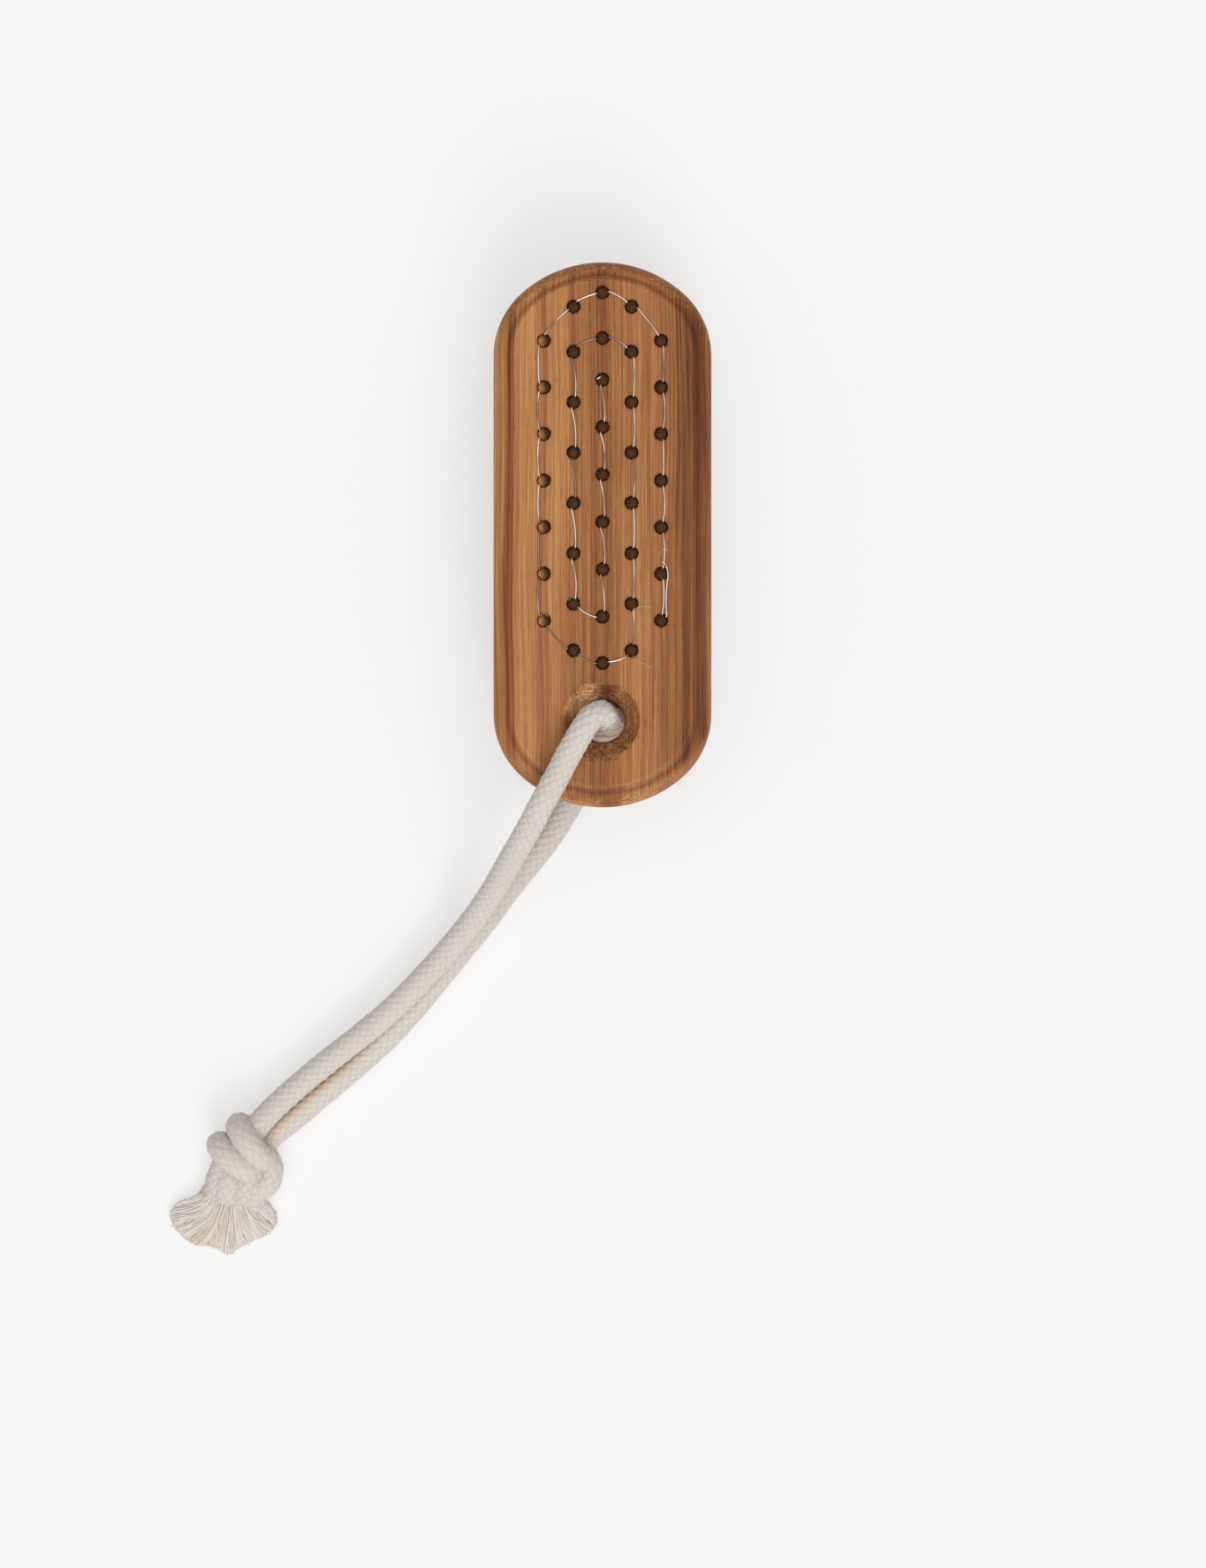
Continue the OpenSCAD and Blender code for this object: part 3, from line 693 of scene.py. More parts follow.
PLACES = tuft_places()


def heading(v, degrees):
    """The direction of a vector, turned by some degrees."""
    return turn(math.atan2(v[1], v[0]) + math.radians(degrees))


def along_column(i):
    """Whether the stitch from this hole runs along a column."""
    return abs(PLACES[i][0] - PLACES[i + 1][0]) < 1e-6


def way_out(i):
    """Where the wire leaves a hole: on the left side, or slanting to the right of the left-hand columns."""
    if i == TUFTS - 1:
        return turn(math.radians(35))
    angle = 30
    if along_column(i):
        angle = 45 if PLACES[i][0] < BESIDE_OUTER else -18 if PLACES[i][0] < BESIDE_INNER else 18
    return heading(PLACES[i + 1] - PLACES[i], angle)


def way_in(i):
    """Where the wire comes into a hole."""
    if i == 0:
        return -way_out(0)
    if i == TUFTS - 1:
        return turn(math.radians(80))
    angle = 15
    if along_column(i - 1):
        angle = 45 if PLACES[i][0] < BESIDE_OUTER else 18
    return heading(PLACES[i - 1] - PLACES[i], -angle)


def ring_points(middle, radii, z):
    """A level ring of points round a middle, one for each radius."""
    sides = len(radii)
    return [(*(middle + radii[k] * turn(math.tau * k / sides)), z) for k in range(sides)]


def bridge(faces, first, second, sides):
    """Joins two closed rings of points that have the same number of sides."""
    for k in range(sides):
        after = (k + 1) % sides
        faces.append((first + k, first + after, second + after, second + k))


def inside(point, ring):
    """Whether a point lies inside a closed ring of points."""
    hits = False
    x, y = point
    for (x1, y1), (x2, y2) in zip(ring, ring[1:] + ring[:1]):
        if (y1 > y) != (y2 > y) and x < (x2 - x1) * (y - y1) / (y2 - y1) + x1:
            hits = not hits
    return hits


def pierced_face(points, outer, holes, extra, z):
    """Fills a flat face between its outer ring and its holes. Returns the faces and adds the extra points."""
    flat = [points[i][:2] for i in outer]
    numbers = list(outer)
    edges = [(k, (k + 1) % len(outer)) for k in range(len(outer))]
    for ring in holes:
        start = len(flat)
        flat += [points[i][:2] for i in ring]
        numbers += list(ring)
        edges += [(start + k, start + (k + 1) % len(ring)) for k in range(len(ring))]
    for p in extra:
        numbers.append(len(points))
        points.append((*p, z))
        flat.append(tuple(p))
    spread_out = [Vector((x * MILLIMETRES, y * MILLIMETRES)) for x, y in flat]
    result = delaunay_2d_cdt(spread_out, edges, [], 0, 1e-6)
    back = [numbers[origins[0]] for origins in result[3]]
    rings = [[points[i][:2] for i in ring] for ring in holes]
    boxes = []
    for ring in rings:
        across = [p[0] for p in ring]
        along = [p[1] for p in ring]
        boxes.append((min(across), max(across), min(along), max(along)))
    faces = []
    for corners in result[2]:
        face = [back[k] for k in corners]
        middle = np.mean([points[i][:2] for i in face], axis=0)
        blocked = False
        for ring, (x1, x2, y1, y2) in zip(rings, boxes):
            if x1 < middle[0] < x2 and y1 < middle[1] < y2 and inside(middle, ring):
                blocked = True
                break
        if not blocked:
            faces.append(tuple(face))
    return faces


EDGE_STEPS = 8
WALL_STEPS = 4
RIM_STEPS = 14
SHOULDER_STEPS = 12


def stock_levels(s):
    """Inset, height, share of painted crease shade and share of painted edge highlight of each ring of the
    stock's side.
    """
    height = BACK_Z - FACE_Z
    levels = []
    for k in range(EDGE_STEPS + 1):
        a = math.pi / 2 * k / EDGE_STEPS
        levels.append((s.base * (1 - math.sin(a)), s.base * (1 - math.cos(a)), 0, 0))
    for k in range(1, WALL_STEPS):
        levels.append((0, s.base + (height - s.crease - s.rim - s.base) * k / WALL_STEPS, 0, 0.2))

    # Painted shade along the crease, in a band of the crease width
    def stain(inset):
        return max(0, 1 - abs(inset - s.rim - 0.0001) / s.crease_width)

    for k in range(RIM_STEPS + 1):
        a = math.pi / 2 * k / RIM_STEPS
        highlight = max(0, 1 - abs(a - 0.5) / 0.5)
        inset = s.rim * (1 - math.cos(a))
        levels.append((inset, height - s.crease - s.rim * (1 - math.sin(a)), stain(inset), highlight))
    for k in range(1, SHOULDER_STEPS + 1):
        share = k / SHOULDER_STEPS
        inset = s.rim + s.shoulder * share
        drop = s.crease * (1 - share) ** 2 * (1 + 0.35 * math.sin(math.pi * share))
        levels.append((inset, height - drop, stain(inset), 0.4 * max(0, 1 - abs(share - 0.75) / 0.25)))
    return levels


HOLE_SIDES = 40
DISH_SIDES = 96
DISH_STEPS = 10


def ball_dish(s):
    """Radius and depth of each ring of the dish, from its outside to the hole."""
    hole = s.cord_hole / 2
    outside = hole + s.dish_width
    ball = (outside**2 - hole**2 - s.dish_depth**2) / (2 * s.dish_depth)
    rings = []
    for k in range(DISH_STEPS + 1):
        radius = outside - (outside - hole) * k / DISH_STEPS
        depth = math.sqrt(outside**2 + ball**2 - radius**2) - ball
        rings.append((radius, depth))
    return rings


def cord_hole_rings(s):
    """Radii, height and share of painted shade of each ring of the cord hole, dished on the back and on the
    bristle face.
    """
    hole = s.cord_hole / 2
    inner = [(hole + 0.00012, s.dish_depth - 0.00002), (hole, s.dish_depth + 0.00014)]
    half = ball_dish(s)[:-1] + inner
    upper = [(BACK_Z - depth, radius, 0.3 * min(1, depth / s.dish_depth) ** 2) for radius, depth in half]
    lower = [(FACE_Z + depth, radius, 0.0) for radius, depth in half[::-1]]
    return [([radius] * DISH_SIDES, z, hole_shade) for z, radius, hole_shade in upper + lower]


def ragged_lip(s, chance):
    """How far each point of a draw hole's lip stands off its circle, most where the fibres are cut across."""
    phases = [chance.uniform(0, math.tau) for _ in range(6)]
    ragged = []
    for k in range(HOLE_SIDES):
        a = math.tau * k / HOLE_SIDES
        wave = sum(math.sin((m + 2) * a + phases[m]) / (m + 1.6) for m in range(6))
        torn = chance.uniform(-0.5, 0.7) * (0.5 + abs(math.sin(a)))
        ragged.append(s.ragged * (0.45 * wave + torn))
    return ragged


def tuft_hole_rings(s, ragged):
    """Radii, height and share of painted shade of each ring of a stepped hole, from its lip down to the
    bristle face.
    """
    draw = s.draw_hole / 2
    tuft = s.tuft_hole / 2
    step_z = FACE_Z + s.tuft_depth
    return [
        ([draw + 0.00008 + v for v in ragged], BACK_Z, 0.25),
        ([draw + 0.00001 + 0.6 * v for v in ragged], BACK_Z - 0.00007, 0.55),
        ([draw + 0.3 * v for v in ragged], BACK_Z - 0.00025, 0.7),
        ([draw] * HOLE_SIDES, BACK_Z - 0.001, 0.85),
        ([draw] * HOLE_SIDES, step_z, 0.95),
        ([tuft] * HOLE_SIDES, step_z, 0.95),
        ([tuft] * HOLE_SIDES, FACE_Z + 0.0002, 0.7),
        ([tuft + 0.0001] * HOLE_SIDES, FACE_Z, 0.4),
    ]


SPLINTERS = 9
# Two loose rings of points round each draw hole keep the painted shade at its lip narrow
HALO_REACHES = (0.00022, 0.0006)
HALO_POINTS = 20


def hole_splinters(place, draw, chance):
    """Root, tip, width and rise of the torn fibres round one draw hole."""
    splinters = []
    for _ in range(SPLINTERS):
        a = chance.choice((1, -1)) * math.pi / 2 + chance.gauss(0, 0.75)
        root = place + (draw + 0.00006) * turn(a)
        swing = turn(a + math.pi + chance.uniform(-0.5, 0.5))
        reach = chance.uniform(0.00018, 0.0005)
        tip = root + swing * reach
        sink = chance.uniform(0.0, 0.00016)
        splinters.append(
            (
                (*root, BACK_Z - 0.00006 - sink),
                (*tip, BACK_Z - sink + chance.uniform(-0.00012, 0.00008)),
                chance.uniform(0.00006, 0.00014),
                chance.uniform(0, 0.00008),
            )
        )
    return splinters


def splinter(points, faces, root, tip, width, rise):
    """A thin spike of torn wood, three-sided, that curls up from its root to its tip."""
    root = np.array(root)
    tip = np.array(tip)
    way = tip - root
    side = np.cross(way, (0, 0, 1))
    side = side / np.linalg.norm(side) * width / 2
    start = len(points)
    for share, wide in ((0.0, 1.0), (0.45, 0.7), (0.8, 0.35)):
        middle = root + way * share + np.array((0, 0, rise * math.sin(math.pi * share)))
        points.append(tuple(middle + side * wide))
        points.append(tuple(middle - side * wide))
        points.append(tuple(middle + np.array((0, 0, width * 0.7 * wide))))
    points.append(tuple(tip))
    faces.append((start, start + 2, start + 1))
    for ring in (start, start + 3):
        for k in range(3):
            after = (k + 1) % 3
            faces.append((ring + k, ring + after, ring + 3 + after, ring + 3 + k))
    for k in range(3):
        faces.append((start + 6 + k, start + 6 + (k + 1) % 3, start + 9))


def make_stock(s, material):
    """The whole stock as one closed mesh."""
    chance = random.Random(5)
    points = []
    faces = []
    notes = []
    top_holes = []
    bottom_holes = []

    def mark(amount, hole_shade=0.0, crease=0.0, edge_highlight=0.0):
        notes.extend([(hole_shade, crease, edge_highlight)] * amount)

    def bore(middle, rings):
        """Adds the wall of a hole, and notes the points of its first ring and its last."""
        starts = []
        for radii, z, hole_shade in rings:
            starts.append(len(points))
            points.extend(ring_points(middle, radii, z))
            mark(len(radii), hole_shade=hole_shade)
        sides = len(rings[0][0])
        for first, second in zip(starts, starts[1:]):
            bridge(faces, first, second, sides)
        top_holes.append(list(range(starts[0], starts[0] + sides)))
        bottom_holes.append(list(range(starts[-1], starts[-1] + sides)))

    outline_count = len(stock_outline(s, 0.0))
    levels = stock_levels(s)
    for inset, height, crease, highlight in levels:
        points += [(*p, FACE_Z + height) for p in stock_outline(s, inset)]
        mark(outline_count, crease=crease, edge_highlight=highlight)
    for j in range(len(levels) - 1):
        bridge(faces, j * outline_count, (j + 1) * outline_count, outline_count)
    bottom_outer = list(range(outline_count))
    top_outer = list(range((len(levels) - 1) * outline_count, len(levels) * outline_count))

    halo = []
    splinters = []
    draw = s.draw_hole / 2
    for place in PLACES:
        bore(place, tuft_hole_rings(s, ragged_lip(s, chance)))
        for reach in HALO_REACHES:
            for k in range(HALO_POINTS):
                angle = math.tau * (k + reach * MILLIMETRES) / HALO_POINTS
                halo.append(place + (draw + reach) * turn(angle))
        splinters += hole_splinters(place, draw, chance)
    bore(CORD_HOLE, cord_hole_rings(s))

    faces += pierced_face(points, top_outer, top_holes, halo, BACK_Z)
    for p in halo:
        near = min(np.linalg.norm(p - place) for place in PLACES) - draw
        mark(1, hole_shade=0.1 if near < sum(HALO_REACHES) / 2 else 0.0)
    faces += pierced_face(points, bottom_outer, bottom_holes, [], FACE_Z)
    before = len(points)
    for item in splinters:
        splinter(points, faces, *item)
    # The torn fibres at the lips get a little painted shade
    mark(len(points) - before, hole_shade=0.15)

    stock = new_piece("wooden_stock", points, faces, material)
    body = bmesh.new()
    body.from_mesh(stock.data)
    bmesh.ops.recalc_face_normals(body, faces=body.faces)
    body.to_mesh(stock.data)
    body.free()
    for index, name in enumerate(("hole_shade", "crease", "edge_highlight")):
        set_numbers(stock.data, name, [note[index] for note in notes])
    stock.data.set_sharp_from_angle(angle=math.radians(38))
    return stock


def smooth_path(points, step):
    """Points an equal step apart on a smooth curve through the given points, and the curve's length."""
    p = np.asarray(points, dtype=float)
    p = np.vstack([2 * p[0] - p[1], p, 2 * p[-1] - p[-2]])
    dense = []
    for i in range(1, len(p) - 2):
        p0, p1, p2, p3 = p[i - 1:i + 3]
        t0 = 0.0
        t1 = t0 + np.linalg.norm(p1 - p0) ** 0.5
        t2 = t1 + np.linalg.norm(p2 - p1) ** 0.5
        t3 = t2 + np.linalg.norm(p3 - p2) ** 0.5
        for t in np.linspace(t1, t2, 24, endpoint=False):
            a1 = (t1 - t) / (t1 - t0) * p0 + (t - t0) / (t1 - t0) * p1
            a2 = (t2 - t) / (t2 - t1) * p1 + (t - t1) / (t2 - t1) * p2
            a3 = (t3 - t) / (t3 - t2) * p2 + (t - t2) / (t3 - t2) * p3
            b1 = (t2 - t) / (t2 - t0) * a1 + (t - t0) / (t2 - t0) * a2
            b2 = (t3 - t) / (t3 - t1) * a2 + (t - t1) / (t3 - t1) * a3
            dense.append((t2 - t) / (t2 - t1) * b1 + (t - t1) / (t2 - t1) * b2)
    dense.append(p[-2])
    dense = np.array(dense)
    run = np.concatenate([[0], np.cumsum(np.linalg.norm(np.diff(dense, axis=0), axis=1))])
    amount = max(2, int(round(run[-1] / step)) + 1)
    marks = np.linspace(0, run[-1], amount)
    return np.stack([np.interp(marks, run, dense[:, k]) for k in range(3)], axis=1), run[-1]


def carried_frames(path, first):
    """For each point of a path, two spokes square to it, carried along without twisting."""
    ways = np.gradient(path, axis=0)
    ways /= np.linalg.norm(ways, axis=1)[:, None]
    spoke = np.array(first, dtype=float)
    spokes = []
    for way in ways:
        spoke = spoke - way * spoke.dot(way)
        spoke /= np.linalg.norm(spoke)
        spokes.append(spoke)
    spokes = np.array(spokes)
    return spokes, np.cross(ways, spokes)


BRAID_CELLS = 8
CELL_STEPS = 8
# Keeps a count that lies on a cell's edge from falling into the cell before it
ON_EDGE = 1e-6
# Length of the cord that is packed in its hole, and over how much of it that begins
PACKED_LENGTH = 0.0125
PACKED_FADE = 0.003
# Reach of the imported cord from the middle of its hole, and how much it swells on the way there
PACKED_REACH = 0.00398
PACKED_SWELL = 0.00016
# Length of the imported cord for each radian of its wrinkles, and half their depth
WRINKLE_LENGTH = 0.00015
WRINKLE_DEPTH = 0.0001


def braid_bulge(a, b):
    """How far the yarn on top stands out at each point of the braid, and how uneven it is there."""
    over_b = (np.floor(a + ON_EDGE) + np.floor(b + ON_EDGE)) % 2 > 0.5
    share_a = a - np.floor(a + ON_EDGE)
    share_b = b - np.floor(b + ON_EDGE)
    over = np.where(over_b, share_b, share_a)
    along = np.where(over_b, share_a, share_b)
    crown = np.sqrt(np.clip(1 - (2 * over - 1) ** 2, 0, 1))
    bulge = crown * (0.5 + 0.5 * np.sin(np.pi * np.clip(along, 0, 1)))
    rows, columns = a.shape
    chance = np.random.default_rng(rows)
    wobble = 1 + 0.12 * np.repeat(chance.standard_normal((rows // 6 + 2, columns)), 6, axis=0)[:rows]
    wobble[:, -1] = wobble[:, 0]
    return bulge, np.clip(wobble, 0.6, 1.3)


def squash_in_hole(rings, pleat, near):
    """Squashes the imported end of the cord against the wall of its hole, where it bends away from it."""
    flat = rings[:, :, :2] - CORD_HOLE
    away = np.linalg.norm(flat, axis=2)
    inner = np.clip((BACK_Z - 0.0006 - rings[:, :, 2]) / 0.0012, 0, 1) * near
    inner = inner * np.clip((flat @ np.array((0.7, -0.7)) / away + 0.3) / 0.6, 0, 1)
    # Deeper down it closes the hole on its far side too
    deep = np.clip((BACK_Z - 0.0028 - rings[:, :, 2]) / 0.0016, 0, 1) * near
    deep = deep * np.clip((rings[:, :, 2] - 0.0235) / 0.001, 0, 1)
    deep = deep * np.clip((flat @ np.array((0.64, 0.77)) / away - 0.64) / 0.2, 0, 1)
    inner = np.maximum(inner, deep)
    grown = away + (PACKED_REACH + 0.00006 * pleat - away) * inner
    rings[:, :, :2] = CORD_HOLE + flat * (grown / away)[:, :, None]


def tube_skin(rows, sides, a, b):
    """Faces between the rings of a tube and over its ends, and the two counts at their corners."""
    faces = []
    corners = []
    for i in range(rows - 1):
        for k in range(sides):
            after = (k + 1) % sides
            low = i * sides
            faces.append((low + k, low + after, low + sides + after, low + sides + k))
            corners += [
                (a[i, k], b[i, k]), (a[i, k + 1], b[i, k + 1]),
                (a[i + 1, k + 1], b[i + 1, k + 1]), (a[i + 1, k], b[i + 1, k]),
            ]
    for ring, middle in ((0, rows * sides), (rows - 1, rows * sides + 1)):
        for k in range(sides):
            here = ring * sides + k
            after = ring * sides + (k + 1) % sides
            faces.append((here, after, middle) if ring else (after, here, middle))
            corners += [(a[ring, k], b[ring, k]), (a[ring, k + 1], b[ring, k + 1]), (a[ring, k], b[ring, k])]
    return faces, corners


def braided_tube(name, points, s, material, radius, first=(0.8, -0.6, 0), phase=0.0, packed=0.0):
    """A tube of round braid along the given points. Returns the piece and its centreline.

    packed is the length at its start over which it is squeezed and wrinkled in its hole."""
    sides = BRAID_CELLS * CELL_STEPS
    path, length = smooth_path(points, s.cell / CELL_STEPS)
    spokes, across = carried_frames(path, first)
    u = np.arange(sides + 1) / sides
    t = np.linspace(0, length / s.cell, len(path)) + phase
    a = BRAID_CELLS * u[None, :] + t[:, None]
    b = BRAID_CELLS * u[None, :] - t[:, None]
    bulge, wobble = braid_bulge(a, b)
    depth = radius - s.relief + s.relief * bulge * wobble
    depth = np.minimum(depth, radius * 1.02)
    angle = math.tau * u
    if packed:
        run = np.linspace(0, length, len(path))[:, None]
        near = np.clip((packed - run) / PACKED_FADE, 0, 1)
        pleat = np.sin(run / WRINKLE_LENGTH + 1.4 * np.sin(angle[None, :] * 2 + 0.6))
        depth = depth + near * (PACKED_SWELL + WRINKLE_DEPTH * pleat)
    rings = (
        path[:, None, :]
        + depth[:, :, None] * np.cos(angle)[None, :, None] * spokes[:, None, :]
        + depth[:, :, None] * np.sin(angle)[None, :, None] * across[:, None, :]
    )
    if packed:
        squash_in_hole(rings, pleat, near)
    verts = [*rings[:, :-1, :].reshape(-1, 3).tolist(), tuple(path[0]), tuple(path[-1])]
    faces, corners = tube_skin(len(path), sides, a, b)
    piece = new_piece(name, verts, faces, material, corners=corners)
    if packed:
        # Share of painted shade where it is packed in its hole
        sunk = np.clip((BACK_Z + 0.0038 - rings[:, :-1, 2]) / 0.0018, 0, 1)
        sunk = sunk * np.clip((packed - run) / 0.001, 0, 1)
        set_numbers(piece.data, "sunk", [*sunk.ravel(), 0, 0])
        set_numbers(piece.data, "pleat", [*pleat[:, :-1].ravel(), 0, 0])
    return piece, path


def near_other(cord, route):
    """Stores how close each point of a strand lies to the other strand, where the two lie on the floor, as
    the share of painted shade between them.
    """
    places = np.empty(len(cord.data.vertices) * 3, dtype=np.float32)
    cord.data.vertices.foreach_get("co", places)
    places = places.reshape(-1, 3)
    nearest = np.full(len(places), 1.0)
    for point in smooth_path(route, 0.0005)[0]:
        nearest = np.minimum(nearest, np.linalg.norm(places - point, axis=1))
    close = np.clip((0.0042 - nearest) / 0.001, 0, 1)
    along = np.clip((-0.043 - places[:, 0]) / 0.006, 0, 1)
    set_numbers(cord.data, "seam_shade", close * along)


# Centrelines, in metres: the lower strand from the knot to its hole, and the upper one from there back
LOWER_ROUTE = [
    [-0.0666, -0.1158, 0.0034], [-0.0634, -0.1131, 0.0028], [-0.06, -0.1105, 0.0025],
    [-0.0535, -0.105, 0.0025], [-0.047, -0.0995, 0.0025], [-0.041, -0.094, 0.0025],
    [-0.036, -0.0885, 0.0025], [-0.0315, -0.083, 0.0025], [-0.027, -0.0775, 0.0025],
    [-0.0225, -0.072, 0.0025], [-0.0185, -0.0665, 0.0025], [-0.0145, -0.0615, 0.0025],
    [-0.0102, -0.056, 0.0027], [-0.007, -0.051, 0.0034], [-0.0044, -0.046, 0.0052],
    [-0.0024, -0.0414, 0.0084], [-0.001, -0.0376, 0.0126], [-0.0001, -0.0355, 0.0174],
    [0.0005, -0.0353, 0.022],
]
UPPER_ROUTE = [
    [0.0005, -0.0353, 0.022], [0.0008, -0.0352, 0.025], [0.0009, -0.0347, 0.0279],
    [0.0009, -0.0341, 0.0298], [0.0006, -0.0335, 0.0316], [-0.0001, -0.0329, 0.0333],
    [-0.0015, -0.0333, 0.0346], [-0.0028, -0.0347, 0.035], [-0.0039, -0.0364, 0.0349],
    [-0.005, -0.0383, 0.0343], [-0.0063, -0.0406, 0.0337], [-0.0076, -0.0431, 0.0332],
    [-0.0095, -0.0466, 0.0328], [-0.0114, -0.05, 0.032], [-0.013, -0.053, 0.0296],
    [-0.015, -0.0564, 0.0266], [-0.018, -0.0614, 0.02], [-0.0212, -0.0667, 0.0138],
    [-0.025, -0.072, 0.0091], [-0.0295, -0.0775, 0.0072], [-0.0345, -0.083, 0.0069],
    [-0.04, -0.0885, 0.0065], [-0.0465, -0.094, 0.006], [-0.0535, -0.0995, 0.0054],
    [-0.06, -0.105, 0.0054], [-0.064, -0.1088, 0.0061], [-0.067, -0.1123, 0.007],
]
# The knot is five runs of the cord and two turns round them, each turn given by its middle and half its width
KNOT_RUNS = [
    [
        [-0.0665, -0.1117, 0.0066], [-0.068, -0.1135, 0.0055], [-0.0715, -0.1175, 0.0042],
        [-0.0734, -0.1213, 0.0032], [-0.0743, -0.1252, 0.0029],
    ],
    [
        [-0.0645, -0.1138, 0.0032], [-0.067, -0.1165, 0.0029], [-0.0702, -0.121, 0.0028],
        [-0.0707, -0.1258, 0.0028],
    ],
    [
        [-0.0655, -0.1165, 0.0032], [-0.064, -0.1189, 0.0034], [-0.0643, -0.1218, 0.0034],
        [-0.0664, -0.1238, 0.0032], [-0.0676, -0.1256, 0.0029],
    ],
    [
        [-0.0706, -0.1186, 0.0038], [-0.0716, -0.1214, 0.0041], [-0.0722, -0.1238, 0.0038],
        [-0.0726, -0.1254, 0.0034],
    ],
    [
        [-0.0672, -0.1192, 0.0038], [-0.0682, -0.1218, 0.0041], [-0.0686, -0.124, 0.0038],
        [-0.0688, -0.1256, 0.0034],
    ],
]
KNOT_TURNS = [
    ([-0.0672, -0.114, 0.0062], [0.0022, -0.0031, 0]),
    ([-0.0701, -0.117, 0.0062], [0.003, -0.0025, 0]),
]
# Half the height of a turn
KNOT_RISE = 0.0036
# Where the yarns leave the knot, and the edge that they are trimmed to, from left to right
TASSEL_NECK = [(-0.0763, -0.1232), (-0.0659, -0.1235)]
TASSEL_OUTLINE = [
    (-0.0775, -0.1246), (-0.0795, -0.1256), (-0.0819, -0.1265), (-0.0832, -0.1283), (-0.0829, -0.1304),
    (-0.0813, -0.1325), (-0.0787, -0.1344), (-0.0756, -0.1347), (-0.0739, -0.1353), (-0.072, -0.1363),
    (-0.0699, -0.135), (-0.0675, -0.1338), (-0.0654, -0.1329), (-0.064, -0.1321), (-0.0629, -0.1306),
    (-0.0629, -0.129), (-0.0637, -0.1275), (-0.0648, -0.1261), (-0.0654, -0.1249),
]
TASSEL_PARTING = 0.53
# Loose fibres that lie on the back
STRAY_FIBRES = [
    [(0.0058, -0.0229), (0.0072, -0.0236), (0.009, -0.0244)],
    [(0.0056, -0.0139), (0.0072, -0.0133), (0.009, -0.0134)],
    [(0.0103, -0.0037), (0.0112, -0.0028), (0.0121, -0.0031)],
    [(-0.0062, -0.0122), (-0.0055, -0.0116), (-0.0048, -0.012)],
    [(-0.0114, -0.0151), (-0.0107, -0.0146), (-0.01, -0.0151)],
]


DRAW_RADIUS = 0.00125
WIRE_RADIUS = 0.00015
# Height of the wire's middle on the back, and in the fold that it runs through
WIRE_Z = BACK_Z + WIRE_RADIUS + 0.00002
TUNNEL_Z = BACK_Z - 0.0008 - 0.0011
# How the wire dives into a draw hole: shares of the hole's radius, and of the way down
DIVES = [(0.94, 0), (0.8, 0.08), (0.68, 0.3), (0.68, 0.78), (0.4, 1)]
# The free end comes back up through the first fold and lies on it: across, along and below the back
FREE_END = [(-0.00095, 0.0001, 0.0), (-0.0006, 0.0003, -0.0001), (-0.00025, 0.0005, 0.0), (0, 0.0006, 0.0009)]


def wire_route():
    """The route of the drawing wire, from its free end in the first hole to its twist beside the last."""
    chance = random.Random(3)
    bows = [chance.gauss(0.00027, 0.00008) for _ in PLACES]

    def dip(i, way):
        return [(*(PLACES[i] + way * DRAW_RADIUS * a), WIRE_Z - (WIRE_Z - TUNNEL_Z) * b) for a, b in DIVES]

    def rim(i, way):
        return PLACES[i] + way * DRAW_RADIUS * DIVES[0][0]

    def stitch(i, share):
        a = rim(i, way_out(i))
        b = rim(i + 1, way_in(i + 1))
        way = (b - a) / np.linalg.norm(b - a)
        left = np.array([-way[1], way[0]])
        side = -1 if along_column(i) and BESIDE_OUTER < PLACES[i][0] < -BESIDE_INNER else 1
        return (*(a + (b - a) * share + left * side * bows[i] * 4 * share * (1 - share)), WIRE_Z)

    route = [(PLACES[0][0] + x, PLACES[0][1] + y, BACK_Z - depth) for x, y, depth in FREE_END]
    for i in range(TUFTS):
        if i > 0:
            route += dip(i, way_in(i))
        route.append((*PLACES[i], TUNNEL_Z))
        route += dip(i, way_out(i))[::-1]
        if i < TUFTS - 1:
            route += [stitch(i, 0.3), stitch(i, 0.7)]
    # It goes back along its last stitch, round the hole before, and once over the stitch before that
    twist = WIRE_RADIUS * 3
    for share in (0.3, 0.7):
        x, y, z = stitch(TUFTS - 2, 1 - share)
        route.append((x + twist, y, z))
    x, y = PLACES[TUFTS - 2]
    route.append((x + DRAW_RADIUS, y, WIRE_Z))
    x, y, z = stitch(TUFTS - 3, 0.88)
    for k in range(7):
        a = math.pi * k / 6
        route.append((x + twist * math.cos(a), y + 2 * twist * (k / 6 - 0.5), z + twist * math.sin(a)))
    return route


def new_tree(name, inputs):
    """A geometry tree with named inputs. Returns the helper and the input node."""
    tree = bpy.data.node_groups.new(name, "GeometryNodeTree")
    n = Nodes(tree)
    tree.interface.new_socket(name="Geometry", in_out="INPUT", socket_type="NodeSocketGeometry")
    for label, kind, default in inputs:
        socket = tree.interface.new_socket(name=label, in_out="INPUT", socket_type="NodeSocket" + kind)
        if default is not None:
            socket.default_value = default
    tree.interface.new_socket(name="Geometry", in_out="OUTPUT", socket_type="NodeSocketGeometry")
    return n, n.add("NodeGroupInput").outputs


def end_tree(n, geometry, material):
    """Ends a tree in Realize Instances and Set Material."""
    real = n.add("GeometryNodeRealizeInstances", {"Geometry": geometry})
    painted = n.add("GeometryNodeSetMaterial", {"Geometry": real.outputs[0], "Material": material})
    n.add("NodeGroupOutput", {"Geometry": painted.outputs[0]})
    return n.tree


def chances(n, seed):
    """Gives random numbers between two values, and others for each step."""

    def chance(low, high, step):
        made = n.add("FunctionNodeRandomValue", data_type="FLOAT")
        n.feed(made.inputs[2], low)
        n.feed(made.inputs[3], high)
        n.feed(made.inputs["Seed"], n.plus(seed, float(step)))
        return made.outputs[1]

    return chance


